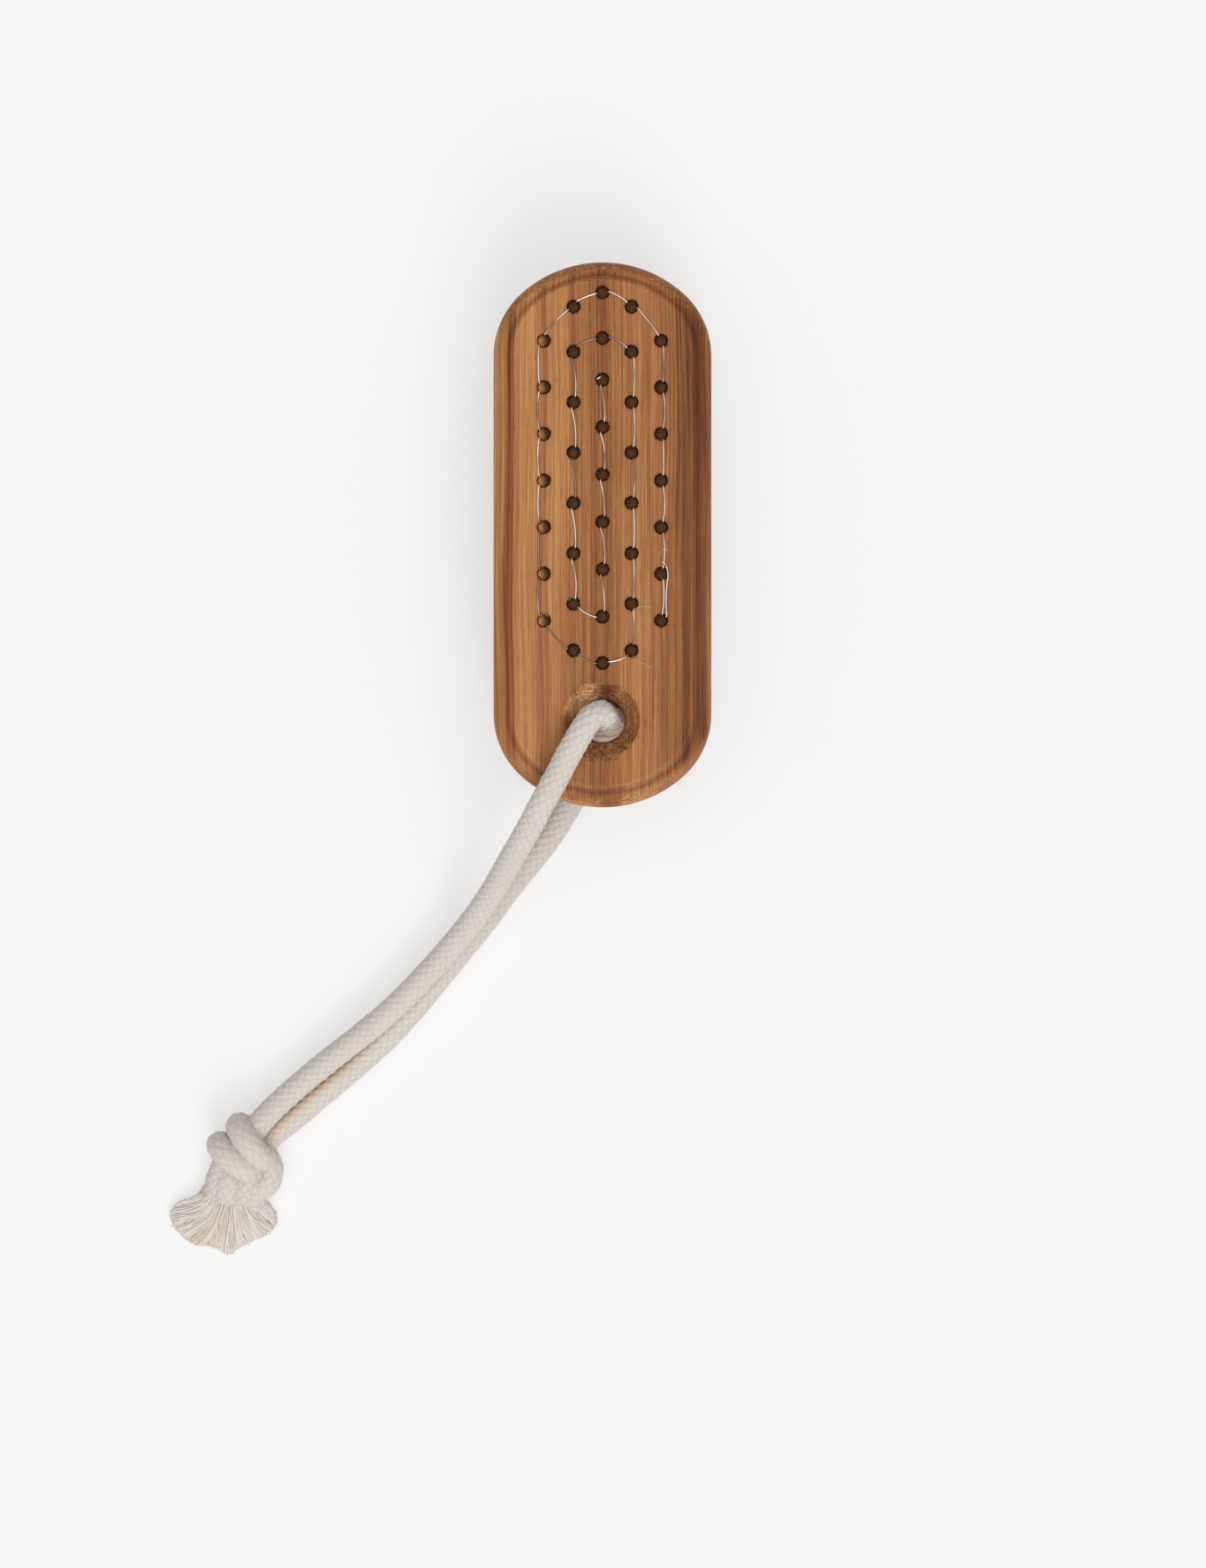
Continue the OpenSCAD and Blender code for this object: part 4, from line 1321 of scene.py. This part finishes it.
def store(n, geometry, name, value, kind="FLOAT"):
    """The geometry with a named value kept on each of its points."""
    made = n.add("GeometryNodeStoreNamedAttribute", data_type=kind, domain="POINT")
    n.feed(made.inputs["Geometry"], geometry)
    n.feed(made.inputs["Name"], name)
    n.feed(made.inputs["Value"], value)
    return made.outputs[0]


def named(n, name, kind="FLOAT"):
    """The named value that was kept on each point."""
    made = n.add("GeometryNodeInputNamedAttribute", data_type=kind)
    n.feed(made.inputs["Name"], name)
    return made.outputs[0]


def round_strands(n, curves, sides, radius):
    """A round section swept along curves, thinner where a point's radius is smaller, with closed ends."""
    section = n.add("GeometryNodeCurvePrimitiveCircle", {"Resolution": sides, "Radius": radius})
    tube = n.add("GeometryNodeCurveToMesh", {"Curve": curves, "Profile Curve": section.outputs[0]})
    n.feed(tube.inputs["Fill Caps"], True)
    return tube.outputs[0]


def sweep_tree():
    """Strands along the curves that it is given."""
    inputs = [("Radius", "Float", 0.0002), ("Sides", "Int", 6), ("Material", "Material", None)]
    n, given = new_tree("Sweep", inputs)
    strands = round_strands(n, given["Geometry"], given["Sides"], given["Radius"])
    return end_tree(n, strands, given["Material"])


def hair_line(n, steps, end):
    """A straight line of points from the middle to an end."""
    line = n.add("GeometryNodeCurvePrimitiveLine")
    n.feed(line.inputs["Start"], (0, 0, 0))
    n.feed(line.inputs["End"], end)
    short = n.add("GeometryNodeResampleCurve", {"Curve": line.outputs[0]})
    n.feed(short.inputs["Count"], steps)
    return short.outputs[0]


def scattered(n, geometry, amount):
    """Each vertex as a number of points in one place, and each point's number there."""
    cloud = n.add("GeometryNodeMeshToPoints", {"Mesh": geometry})
    many = n.add("GeometryNodeDuplicateElements", domain="POINT")
    n.feed(many.inputs["Geometry"], cloud.outputs[0])
    n.feed(many.inputs["Amount"], amount)
    return many.outputs[0], many.outputs[1]


# Turns each hair on from the one before, so that all of them fill a circle evenly
GOLDEN_ANGLE = 2.39996


def bristle_tree():
    """Hairs that run down from each tuft's middle and spread towards their trimmed tips."""
    n, given = new_tree(
        "Bristles",
        [
            ("Hairs", "Int", 120), ("Root Radius", "Float", 0.0016), ("Tip Radius", "Float", 0.0021),
            ("Length", "Float", 0.016), ("Hair Radius", "Float", 0.0001), ("Seed", "Int", 7),
            ("Material", "Material", None),
        ],
    )
    cloud, number = scattered(n, given["Geometry"], given["Hairs"])
    chance = chances(n, given["Seed"])
    share = n.sum("SQRT", n.sum("DIVIDE", n.plus(number, 0.5), given["Hairs"]))
    angle = n.times_plus(number, GOLDEN_ANGLE, chance(-0.35, 0.35, 0))
    ray = n.join(n.sum("COSINE", angle), n.sum("SINE", angle))
    root = n.vector("SCALE", ray, n.times(share, given["Root Radius"]))
    drift = n.join(chance(-0.0002, 0.0002, 1), chance(-0.0002, 0.0002, 2))
    tip = n.vector("ADD", n.vector("SCALE", ray, n.times(share, given["Tip Radius"])), drift)
    roots = n.add("GeometryNodeSetPosition", {"Geometry": cloud, "Offset": root})
    kept = store(n, roots.outputs[0], "lean", n.vector("SUBTRACT", tip, root), "FLOAT_VECTOR")
    kept = store(n, kept, "shade", chance(0.0, 1.0, 3))
    bow = n.join(chance(-0.00025, 0.00025, 4), chance(-0.00025, 0.00025, 5))
    kept = store(n, kept, "bow", bow, "FLOAT_VECTOR")
    down = n.join(0.0, 0.0, n.times(given["Length"], -1.0))
    hairs = n.add("GeometryNodeInstanceOnPoints", {"Points": kept, "Instance": hair_line(n, 5, down)})
    real = n.add("GeometryNodeRealizeInstances", {"Geometry": hairs.outputs[0]})
    t = n.add("GeometryNodeSplineParameter").outputs["Factor"]
    lean = n.vector("SCALE", named(n, "lean", "FLOAT_VECTOR"), t)
    arch = n.vector("SCALE", named(n, "bow", "FLOAT_VECTOR"), n.sum("SINE", n.times(t, math.pi)))
    offset = n.vector("ADD", lean, arch)
    bent = n.add("GeometryNodeSetPosition", {"Geometry": real.outputs[0], "Offset": offset})
    thin = n.add("GeometryNodeSetCurveRadius", {"Curve": bent.outputs[0]})
    n.feed(thin.inputs["Radius"], n.minus(1.0, n.times(t, 0.3)))
    strands = round_strands(n, thin.outputs[0], 4, given["Hair Radius"])
    return end_tree(n, strands, given["Material"])


def fold_tree():
    """Hairs folded in two over the wire in each draw hole, square to the wire."""
    n, given = new_tree(
        "Folds",
        [
            ("Hairs", "Int", 60), ("Neck Radius", "Float", 0.0012), ("Span", "Float", 0.0007),
            ("Drop", "Float", 0.0026), ("Hair Radius", "Float", 0.0001), ("Seed", "Int", 7),
            ("Material", "Material", None),
        ],
    )
    cloud, _ = scattered(n, given["Geometry"], given["Hairs"])
    chance = chances(n, given["Seed"])
    way = named(n, "wire_way", "FLOAT_VECTOR")
    skew = chance(-0.22, 0.22, 1)
    turned = n.add("ShaderNodeVectorRotate", {"Vector": way, "Axis": (0, 0, 1), "Angle": skew}).outputs[0]
    wx, wy, _ = n.split(turned)
    square = n.join(n.times(wy, -1.0), wx)
    aside = chance(-1.0, 1.0, 2)
    slide = n.times(aside, given["Span"])
    nest = n.sum("SQRT", chance(0.05, 1.0, 3))
    neck = given["Neck Radius"]
    half = n.sum("SQRT", n.minus(n.sum("POWER", neck, 2.0), n.sum("POWER", slide, 2.0)))
    width = n.times(half, n.times_plus(nest, 0.56, 0.44))
    deep = n.times(n.minus(1.0, nest), 0.0007)
    dome = n.times(n.sum("POWER", n.sum("ABSOLUTE", aside), 2.0), 0.00025)
    sunk = n.plus(n.plus(deep, dome), chance(0.0, 0.00022, 4))
    centre = n.add("GeometryNodeInputPosition").outputs[0]
    kept = store(n, cloud, "centre", centre, "FLOAT_VECTOR")
    kept = store(n, kept, "wide", n.vector("SCALE", square, width), "FLOAT_VECTOR")
    kept = store(n, kept, "slide", n.vector("SCALE", way, slide), "FLOAT_VECTOR")
    kept = store(n, kept, "sunk", sunk)
    kept = store(n, kept, "bend", chance(0.5, 0.9, 5))
    kept = store(n, kept, "lop", chance(-0.16, 0.16, 6))
    shade = n.times_plus(named(n, "tuft_shade"), 0.6, chance(0.0, 0.5, 7))
    kept = store(n, kept, "shade", shade)
    hairs = n.add("GeometryNodeInstanceOnPoints", {"Points": kept, "Instance": hair_line(n, 10, (0, 0, 1))})
    real = n.add("GeometryNodeRealizeInstances", {"Geometry": hairs.outputs[0]})
    t = n.add("GeometryNodeSplineParameter").outputs["Factor"]
    angle = n.times(t, math.pi)
    swing = n.plus(n.times(n.sum("COSINE", angle), -1.0), named(n, "lop"))
    swing = n.sum("MINIMUM", n.sum("MAXIMUM", swing, -1.0), 1.0)
    side = n.vector("SCALE", named(n, "wide", "FLOAT_VECTOR"), swing)
    rise = n.sum("POWER", n.sum("MAXIMUM", n.sum("SINE", angle), 0.0), named(n, "bend"))
    fall = n.times(n.minus(1.0, rise), given["Drop"])
    down = n.times(n.plus(fall, named(n, "sunk")), -1.0)
    place = n.vector("ADD", named(n, "centre", "FLOAT_VECTOR"), named(n, "slide", "FLOAT_VECTOR"))
    place = n.vector("ADD", n.vector("ADD", place, side), n.join(0.0, 0.0, down))
    bent = n.add("GeometryNodeSetPosition", {"Geometry": real.outputs[0], "Position": place})
    strands = round_strands(n, bent.outputs[0], 3, given["Hair Radius"])
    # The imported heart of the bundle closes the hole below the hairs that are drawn
    ball = n.add("GeometryNodeMeshUVSphere", {"Segments": 12, "Rings": 6, "Radius": 1.0})
    points = n.add("GeometryNodeMeshToPoints", {"Mesh": given["Geometry"]})
    heart = n.add("GeometryNodeInstanceOnPoints", {"Points": points.outputs[0], "Instance": ball.outputs[0]})
    n.feed(heart.inputs["Scale"], n.join(neck, neck, n.times(given["Drop"], 0.5)))
    sink = n.join(0.0, 0.0, n.times(given["Drop"], -0.72))
    sunken = n.add("GeometryNodeTranslateInstances", {"Instances": heart.outputs[0], "Translation": sink})
    both = n.add("GeometryNodeJoinGeometry")
    for part in (sunken.outputs[0], strands):
        n.tree.links.new(part, both.inputs[0])
    return end_tree(n, both.outputs[0], given["Material"])


def new_curves(name, lines, radii=None):
    """One curve object with a poly spline for each line of points."""
    curve = bpy.data.curves.new(name, "CURVE")
    curve.dimensions = "3D"
    for number, line in enumerate(lines):
        spline = curve.splines.new("POLY")
        spline.points.add(len(line) - 1)
        flat = np.concatenate([np.asarray(line), np.ones((len(line), 1))], axis=1)
        spline.points.foreach_set("co", flat.ravel())
        if radii is not None:
            spline.points.foreach_set("radius", np.asarray(radii[number], dtype=np.float32))
    return placed(name, curve)


def swept(name, lines, radius, sides, material, radii=None, shades=None):
    """A plain mesh of round strands along the given lines. shades gives each strand its shade."""
    tree = bpy.data.node_groups.get("Sweep") or sweep_tree()
    source = new_curves(name, lines, radii)
    piece = plain_mesh(source, name, tree, {"Radius": radius, "Sides": sides, "Material": material})
    if shades is not None:
        values = np.concatenate([np.full(len(line) * sides, shade) for line, shade in zip(lines, shades)])
        set_numbers(piece.data, "shade", values)
    return piece


# One fibre in so many is thick: how many times as thick, and how much of its length is left
THICK_EVERY = 14
THICK_TIMES = 4.2
THICK_TRIM = 0.86
# Fibres above this share of the height start unevenly, most of them back over the knot
TOP_LAYER = 0.6
TASSEL_WAY = np.array((-0.2, -0.98, 0.0))
FIBRE_MARKS = (0.0, 0.2, 0.42, 0.64, 0.84, 1.0)


def tassel_crest(q):
    """How high the folds of the frayed ends stand at a share of their outline, from 0 to 1."""
    broad_fold = math.sin(math.tau * (9 * q + 0.5 * math.sin(23 * q)))
    fine_fold = math.sin(math.tau * (21 * q + 0.4 * math.sin(31 * q)))
    return 0.5 + (broad_fold + fine_fold) / 4


def fibre_levels(q, height, crest):
    """Heights above the floor at which a fibre starts, hangs half way and ends."""
    round_off = math.sqrt(max(0.0, 1 - (2 * q - 1) ** 2))
    start_z = 0.0029 + (0.0026 if height > TOP_LAYER else 0.0021) * (2 * height - 1) * round_off
    middle_z = 0.0007 + (0.0021 + 0.0011 * crest) * height * (0.45 + 0.55 * round_off)
    end_z = 0.0003 + (0.0013 + 0.0006 * crest) * height
    return start_z, middle_z, end_z


def frayed_lines(s, low, high, seed):
    """Centrelines, thicknesses and shades of the fibres of one frayed end.

    They leave the knot's neck side by side, and end along the tassel's outline between two shares of it."""
    chance = random.Random(seed)
    edge, _ = smooth_path([(*p, 0.0) for p in TASSEL_OUTLINE], 0.0002)
    neck = np.array([(*p, 0.0) for p in TASSEL_NECK])
    lines = []
    radii = []
    shades = []
    for number in range(s.fibres):
        thick = number < s.fibres // THICK_EVERY
        q = low + (high - low) * chance.random()
        height = chance.random() ** 0.8
        tip = edge[int(q * (len(edge) - 1))]
        root = neck[0] + (neck[1] - neck[0]) * (0.5 + (q - 0.5) * 0.94)
        way = tip - root
        reach = np.linalg.norm(way)
        side = np.array((-way[1], way[0], 0.0)) / reach
        crest = tassel_crest(q)
        trim = chance.uniform(0.955, 1.0) if chance.random() < 0.985 else chance.uniform(1.0, 1.03)
        if thick:
            trim = THICK_TRIM
        if height > TOP_LAYER:
            root = root - TASSEL_WAY * chance.uniform(-0.001, 0.0022)
        start_z, middle_z, end_z = fibre_levels(q, height, crest)
        points = []
        for share in FIBRE_MARKS:
            t = share * trim
            place = root * (1 - t) ** 2 + (root + TASSEL_WAY * reach * 0.5) * 2 * t * (1 - t) + tip * t**2
            sway = math.sin(math.pi * t) * 0.0004 * math.cos(math.tau * 9 * q + 3 * t)
            level = start_z * (1 - t) ** 2 + middle_z * 2.2 * t * (1 - t) + end_z * t**2
            place = place + side * (sway + chance.gauss(0, 0.00007) * share)
            place[2] = max(level + chance.gauss(0, 0.00006), s.fibre_radius * 1.2)
            points.append(place)
        line, _ = smooth_path(points, reach / 9)
        t = np.linspace(0, 1, len(line))
        lines.append(line)
        radii.append((THICK_TIMES if thick else chance.uniform(0.8, 1.25)) * (1 - 0.3 * t))
        # Painted shade for fibres in the valleys of the folds, more towards the middle
        middle = 1 - abs(2 * q - 0.9)
        valley = (1 - crest) * (0.3 + 0.7 * height) * (0.5 + 0.7 * middle)
        shades.append(min(1, max(0, 0.97 - 0.55 * valley + chance.uniform(-0.12, 0.12))))
    return lines, radii, shades


# How far inside their holes the bristles start, and a fold's half width, half span and drop into its hole
ROOT_RISE = 0.0003
FOLD_NECK = 0.00122
FOLD_SPAN = 0.001
FOLD_DROP = 0.0022
STRAY_RADIUS = 0.00004


def make_bristles(s, material):
    """The hairs of all the tufts, from their holes down to the floor."""
    root_z = FACE_Z + ROOT_RISE
    roots = new_piece("roots", [(*p, root_z) for p in PLACES], [], material, smooth=False)
    values = {
        "Hairs": s.hairs,
        "Root Radius": s.root_radius,
        "Tip Radius": s.tip_radius,
        "Length": root_z,
        "Hair Radius": s.hair_radius,
        "Seed": s.seed,
        "Material": material,
    }
    return plain_mesh(roots, "bristles", bristle_tree(), values)


def make_folds(s, material):
    """The folds of all the tufts, each square to the wire that runs through it."""
    crown_z = BACK_Z - s.fold_depth
    crowns = new_piece("crowns", [(*p, crown_z) for p in PLACES], [], material, smooth=False)
    ways = crowns.data.attributes.new(name="wire_way", type="FLOAT_VECTOR", domain="POINT")
    chance = random.Random(s.seed)
    shades = []
    for i in range(TUFTS):
        way = way_out(i) - way_in(i) if i < TUFTS - 1 else np.array([0.0, 1.0])
        way = way / np.linalg.norm(way)
        ways.data[i].vector = (*way, 0)
        # Painted light: the folds of the left column are lighter
        shades.append(chance.uniform(0.1, 0.8) + (0.3 if PLACES[i][0] < BESIDE_OUTER else 0))
    set_numbers(crowns.data, "tuft_shade", shades)
    values = {
        "Hairs": s.fold_hairs,
        "Neck Radius": FOLD_NECK,
        "Span": FOLD_SPAN,
        "Drop": FOLD_DROP,
        "Hair Radius": s.hair_radius,
        "Seed": s.seed + 20,
        "Material": material,
    }
    return plain_mesh(crowns, "folds", fold_tree(), values)


def make_stray_fibres(material):
    """The loose fibres on the back, each arched a little over it."""
    lines = []
    for points in STRAY_FIBRES:
        last = len(points) - 1
        arched = []
        for k, place in enumerate(points):
            arched.append((*place, BACK_Z + 0.0001 + 0.0002 * math.sin(math.pi * k / last)))
        lines.append(smooth_path(arched, 0.0002)[0])
    return swept("stray_fibres", lines, STRAY_RADIUS, 5, material, shades=[0.2] * len(lines))


FLOOR_REACH = 6.0
# Half the width and half the length of the floor in the board's shadow
SHADED = (0.016, 0.046)


def floor_material(s):
    """A pale floor that is lit, and shines a little towards the camera outside the shadow of the board."""
    floor = bpy.data.materials.new("pale_floor")
    floor.use_nodes = True
    n = Nodes(floor.node_tree)
    seen = n.add("ShaderNodeLightPath").outputs["Is Camera Ray"]
    coordinates = n.add("ShaderNodeTexCoord")
    speckle = n.noise(n.vector("SCALE", coordinates.outputs["Object"], 90.0), detail=2.0)
    paper = n.mix(n.spread(speckle, 0.3, 0.7, 0.0, 0.02), tuple(s.floor), grey(0.8))
    plain = n.add("ShaderNodeBsdfDiffuse", {"Color": paper})
    bright = n.add("ShaderNodeEmission", {"Color": (*s.floor, 1), "Strength": 1.0})
    # Under the brush the floor is seen through the cord hole, and stays in its shadow
    x, y, _ = n.split(coordinates.outputs["Object"])
    sideways = n.minus(n.sum("ABSOLUTE", x), SHADED[0])
    endways = n.minus(n.sum("ABSOLUTE", y), SHADED[1])
    open_floor = n.spread(n.sum("MAXIMUM", sideways, endways), -0.003, 0.001)
    share = n.times(n.times(seen, 0.6), open_floor)
    blend = n.add("ShaderNodeMixShader", {0: share, 1: plain.outputs[0], 2: bright.outputs[0]})
    n.add("ShaderNodeOutputMaterial", {"Surface": blend.outputs[0]})
    return floor


def studio_world(s):
    """A room that fills the shadows with soft light, and is seen as pale as the floor."""
    world = bpy.data.worlds.new("studio")
    world.use_nodes = True
    n = Nodes(world.node_tree)
    rays = n.add("ShaderNodeLightPath")
    seen = n.sum("MAXIMUM", rays.outputs["Is Camera Ray"], rays.outputs["Is Glossy Ray"])
    seen = n.sum("MAXIMUM", seen, rays.outputs["Is Transmission Ray"])
    fill = n.add("ShaderNodeBackground", {"Color": (1, 1, 1, 1), "Strength": s.sky})
    shown = n.add("ShaderNodeBackground", {"Color": (*s.floor, 1), "Strength": 1.0})
    blend = n.add("ShaderNodeMixShader", {0: seen, 1: fill.outputs[0], 2: shown.outputs[0]})
    n.add("ShaderNodeOutputWorld", {"Surface": blend.outputs[0]})
    return world


class BRUSH_OT_stage(Operator):
    """Make the floor, the lights and the camera"""

    bl_idname = "nail_brush.stage"
    bl_label = "Stage"
    bl_options = {"REGISTER"}

    def execute(self, context):
        scene = context.scene
        s = scene.nail_brush_stage
        scene.view_settings.view_transform = "Standard"
        corners = [(x * FLOOR_REACH, y * FLOOR_REACH, 0) for x, y in ((-1, -1), (1, -1), (1, 1), (-1, 1))]
        ground = new_piece("floor", corners, [(0, 1, 2, 3)], floor_material(s), smooth=False)
        scene.world = studio_world(s)

        # Name, strength, spread in degrees and direction of each light
        lights = (
            ("soft_light", s.overhead, 74, (0.06, -0.12, 0.99)),
            ("key_light", s.key, 30, (0.16, -0.64, 0.7)),
        )
        for name, power, spread, way in lights:
            lamp = bpy.data.lights.new(name, "SUN")
            lamp.energy = power
            lamp.angle = math.radians(spread)
            lamp.color = (1.0, 0.985, 0.965)
            placed(name, lamp).rotation_euler = Vector(way).to_track_quat("Z", "Y").to_euler()

        camera = bpy.data.cameras.new("camera")
        camera.sensor_fit = "VERTICAL"
        camera.sensor_height = 36
        camera.lens = s.lens
        camera.clip_start = 0.01
        camera.clip_end = 50
        scene.camera = placed("camera", camera)
        scene.camera.location = (s.aside, s.along, s.height)
        return {"FINISHED"}


class BRUSH_OT_knot(Operator):
    """Make the overhand knot in the doubled cord"""

    bl_idname = "nail_brush.knot"
    bl_label = "Knot"
    bl_options = {"REGISTER"}

    def execute(self, context):
        s = context.scene.nail_brush_cord
        material = finish_of(context, "cotton_braid")
        parts = []
        for number, run in enumerate(KNOT_RUNS):
            tube, _ = braided_tube("run", run, s, material, s.run_radius, phase=number * 0.4)
            parts.append(tube)
        for number, (middle, half) in enumerate(KNOT_TURNS):
            loop = []
            for k in range(-1, 12):
                a = math.tau * k / 10
                aside = np.array(half) * math.cos(a)
                above = np.array((0, 0, KNOT_RISE)) * math.sin(a)
                loop.append(np.array(middle) + aside + above)
            phase = 0.3 + number
            tube, _ = braided_tube("turn", loop, s, material, s.turn_radius, (0.7, 0.7, 0), phase)
            parts.append(tube)
        knot = joined("overhand_knot", parts)
        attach(knot, "cord")
        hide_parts("cord_knot")
        return {"FINISHED"}


class BRUSH_OT_frayed_ends(Operator):
    """Make the two frayed ends of the cord from single yarns"""

    bl_idname = "nail_brush.frayed_ends"
    bl_label = "Frayed Ends"
    bl_options = {"REGISTER"}

    def execute(self, context):
        s = context.scene.nail_brush_cord
        material = finish_of(context, "cotton_yarn")
        ends = (("left", 0.0, TASSEL_PARTING, 1), ("right", TASSEL_PARTING, 1.0, 2))
        for side, low, high, step in ends:
            lines, radii, shades = frayed_lines(s, low, high, s.seed + step)
            end = swept("frayed_yarns_" + side, lines, s.fibre_radius, 5, material, radii, shades)
            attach(end, "cord")
            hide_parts("frayed_end_" + side)
        return {"FINISHED"}


class BRUSH_OT_cord(Operator):
    """Make the two free stretches of the braided cord"""

    bl_idname = "nail_brush.cord"
    bl_label = "Cord"
    bl_options = {"REGISTER"}

    def execute(self, context):
        s = context.scene.nail_brush_cord
        material = finish_of(context, "cotton_braid")
        pieces = [
            bpy.data.objects[name] for name in ("overhand_knot", "frayed_yarns_left", "frayed_yarns_right")
        ]
        stretches = (
            ("upper", UPPER_ROUTE, (0.001, -0.034, BACK_Z - 0.002), pieces),
            ("lower", LOWER_ROUTE[::-1], (-0.0005, -0.036, FACE_Z), ()),
        )
        for side, route, mouth, carried in stretches:
            packed = PACKED_LENGTH if side == "upper" else 0
            cord, path = braided_tube(side + "_cord", route, s, material, s.radius, packed=packed)
            near_other(cord, LOWER_ROUTE if side == "upper" else UPPER_ROUTE)
            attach(cord, "cord")
            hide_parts(side + "_strand")
        return {"FINISHED"}


class BRUSH_OT_stock(Operator):
    """Make the wooden stock with its draw holes and its dished cord hole"""

    bl_idname = "nail_brush.stock"
    bl_label = "Stock"
    bl_options = {"REGISTER"}

    def execute(self, context):
        stock = make_stock(context.scene.nail_brush_wood, finish_of(context, "oiled_wood"))
        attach(stock, "brush")
        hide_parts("stock")
        return {"FINISHED"}


class BRUSH_OT_tufts(Operator):
    """Make the bristles under the stock and their folds in the draw holes"""

    bl_idname = "nail_brush.tufts"
    bl_label = "Tufts"
    bl_options = {"REGISTER"}

    def execute(self, context):
        s = context.scene.nail_brush_bristle
        material = finish_of(context, "bristle_hair")
        bristles = make_bristles(s, material)
        folds = make_folds(s, material)
        stray = make_stray_fibres(finish_of(context, "cotton_yarn"))
        for piece in (bristles, folds, stray):
            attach(piece, "brush")
        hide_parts(*TUFT_NODES)
        return {"FINISHED"}


class BRUSH_OT_wire(Operator):
    """Make the drawing wire that runs from hole to hole"""

    bl_idname = "nail_brush.wire"
    bl_label = "Wire"
    bl_options = {"REGISTER"}

    def execute(self, context):
        s = context.scene.nail_brush_wire
        line, _ = smooth_path(wire_route(), 0.00022)
        wire = swept("steel_wire", [line], s.radius, 10, finish_of(context, "drawn_steel"))
        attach(wire, "brush")
        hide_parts("drawing_wire")
        return {"FINISHED"}


class BRUSH_PT_panel(Panel):
    """Lists the operators of the nail brush"""

    bl_idname = "BRUSH_PT_panel"
    bl_label = "Nail Brush"
    bl_space_type = "VIEW_3D"
    bl_region_type = "UI"
    bl_category = "Nail Brush"

    def draw(self, context):
        for step in STEPS:
            self.layout.operator(step.bl_idname)
        for group in GROUPS:
            box = self.layout.box()
            box.label(text=group.title())
            settings = getattr(context.scene, "nail_brush_" + group)
            for key in settings.bl_rna.properties.keys():
                if key not in ("rna_type", "name"):
                    box.prop(settings, key)


GROUPS = {
    "wood": WoodSettings,
    "bristle": BristleSettings,
    "wire": WireSettings,
    "cord": CordSettings,
    "stage": StageSettings,
}
STEPS = [
    BRUSH_OT_stage,
    BRUSH_OT_knot,
    BRUSH_OT_frayed_ends,
    BRUSH_OT_cord,
    BRUSH_OT_stock,
    BRUSH_OT_tufts,
    BRUSH_OT_wire,
]
CLASSES = [*GROUPS.values(), *STEPS, BRUSH_PT_panel]


def register():
    """Makes the settings, the operators and the panel known to Blender."""
    for item in CLASSES:
        bpy.utils.register_class(item)
    for name, group in GROUPS.items():
        setattr(bpy.types.Scene, "nail_brush_" + name, PointerProperty(type=group))


def unregister():
    """Takes out all that register put in."""
    for name in GROUPS:
        delattr(bpy.types.Scene, "nail_brush_" + name)
    for item in reversed(CLASSES):
        bpy.utils.unregister_class(item)


def main():
    """Builds the whole brush, one operator after the other."""
    register()
    for step in STEPS:
        group, name = step.bl_idname.split(".")
        result = getattr(getattr(bpy.ops, group), name)()
        if result != {"FINISHED"}:
            raise RuntimeError(step.bl_label + " was not finished")


if __name__ == "__main__":
    main()
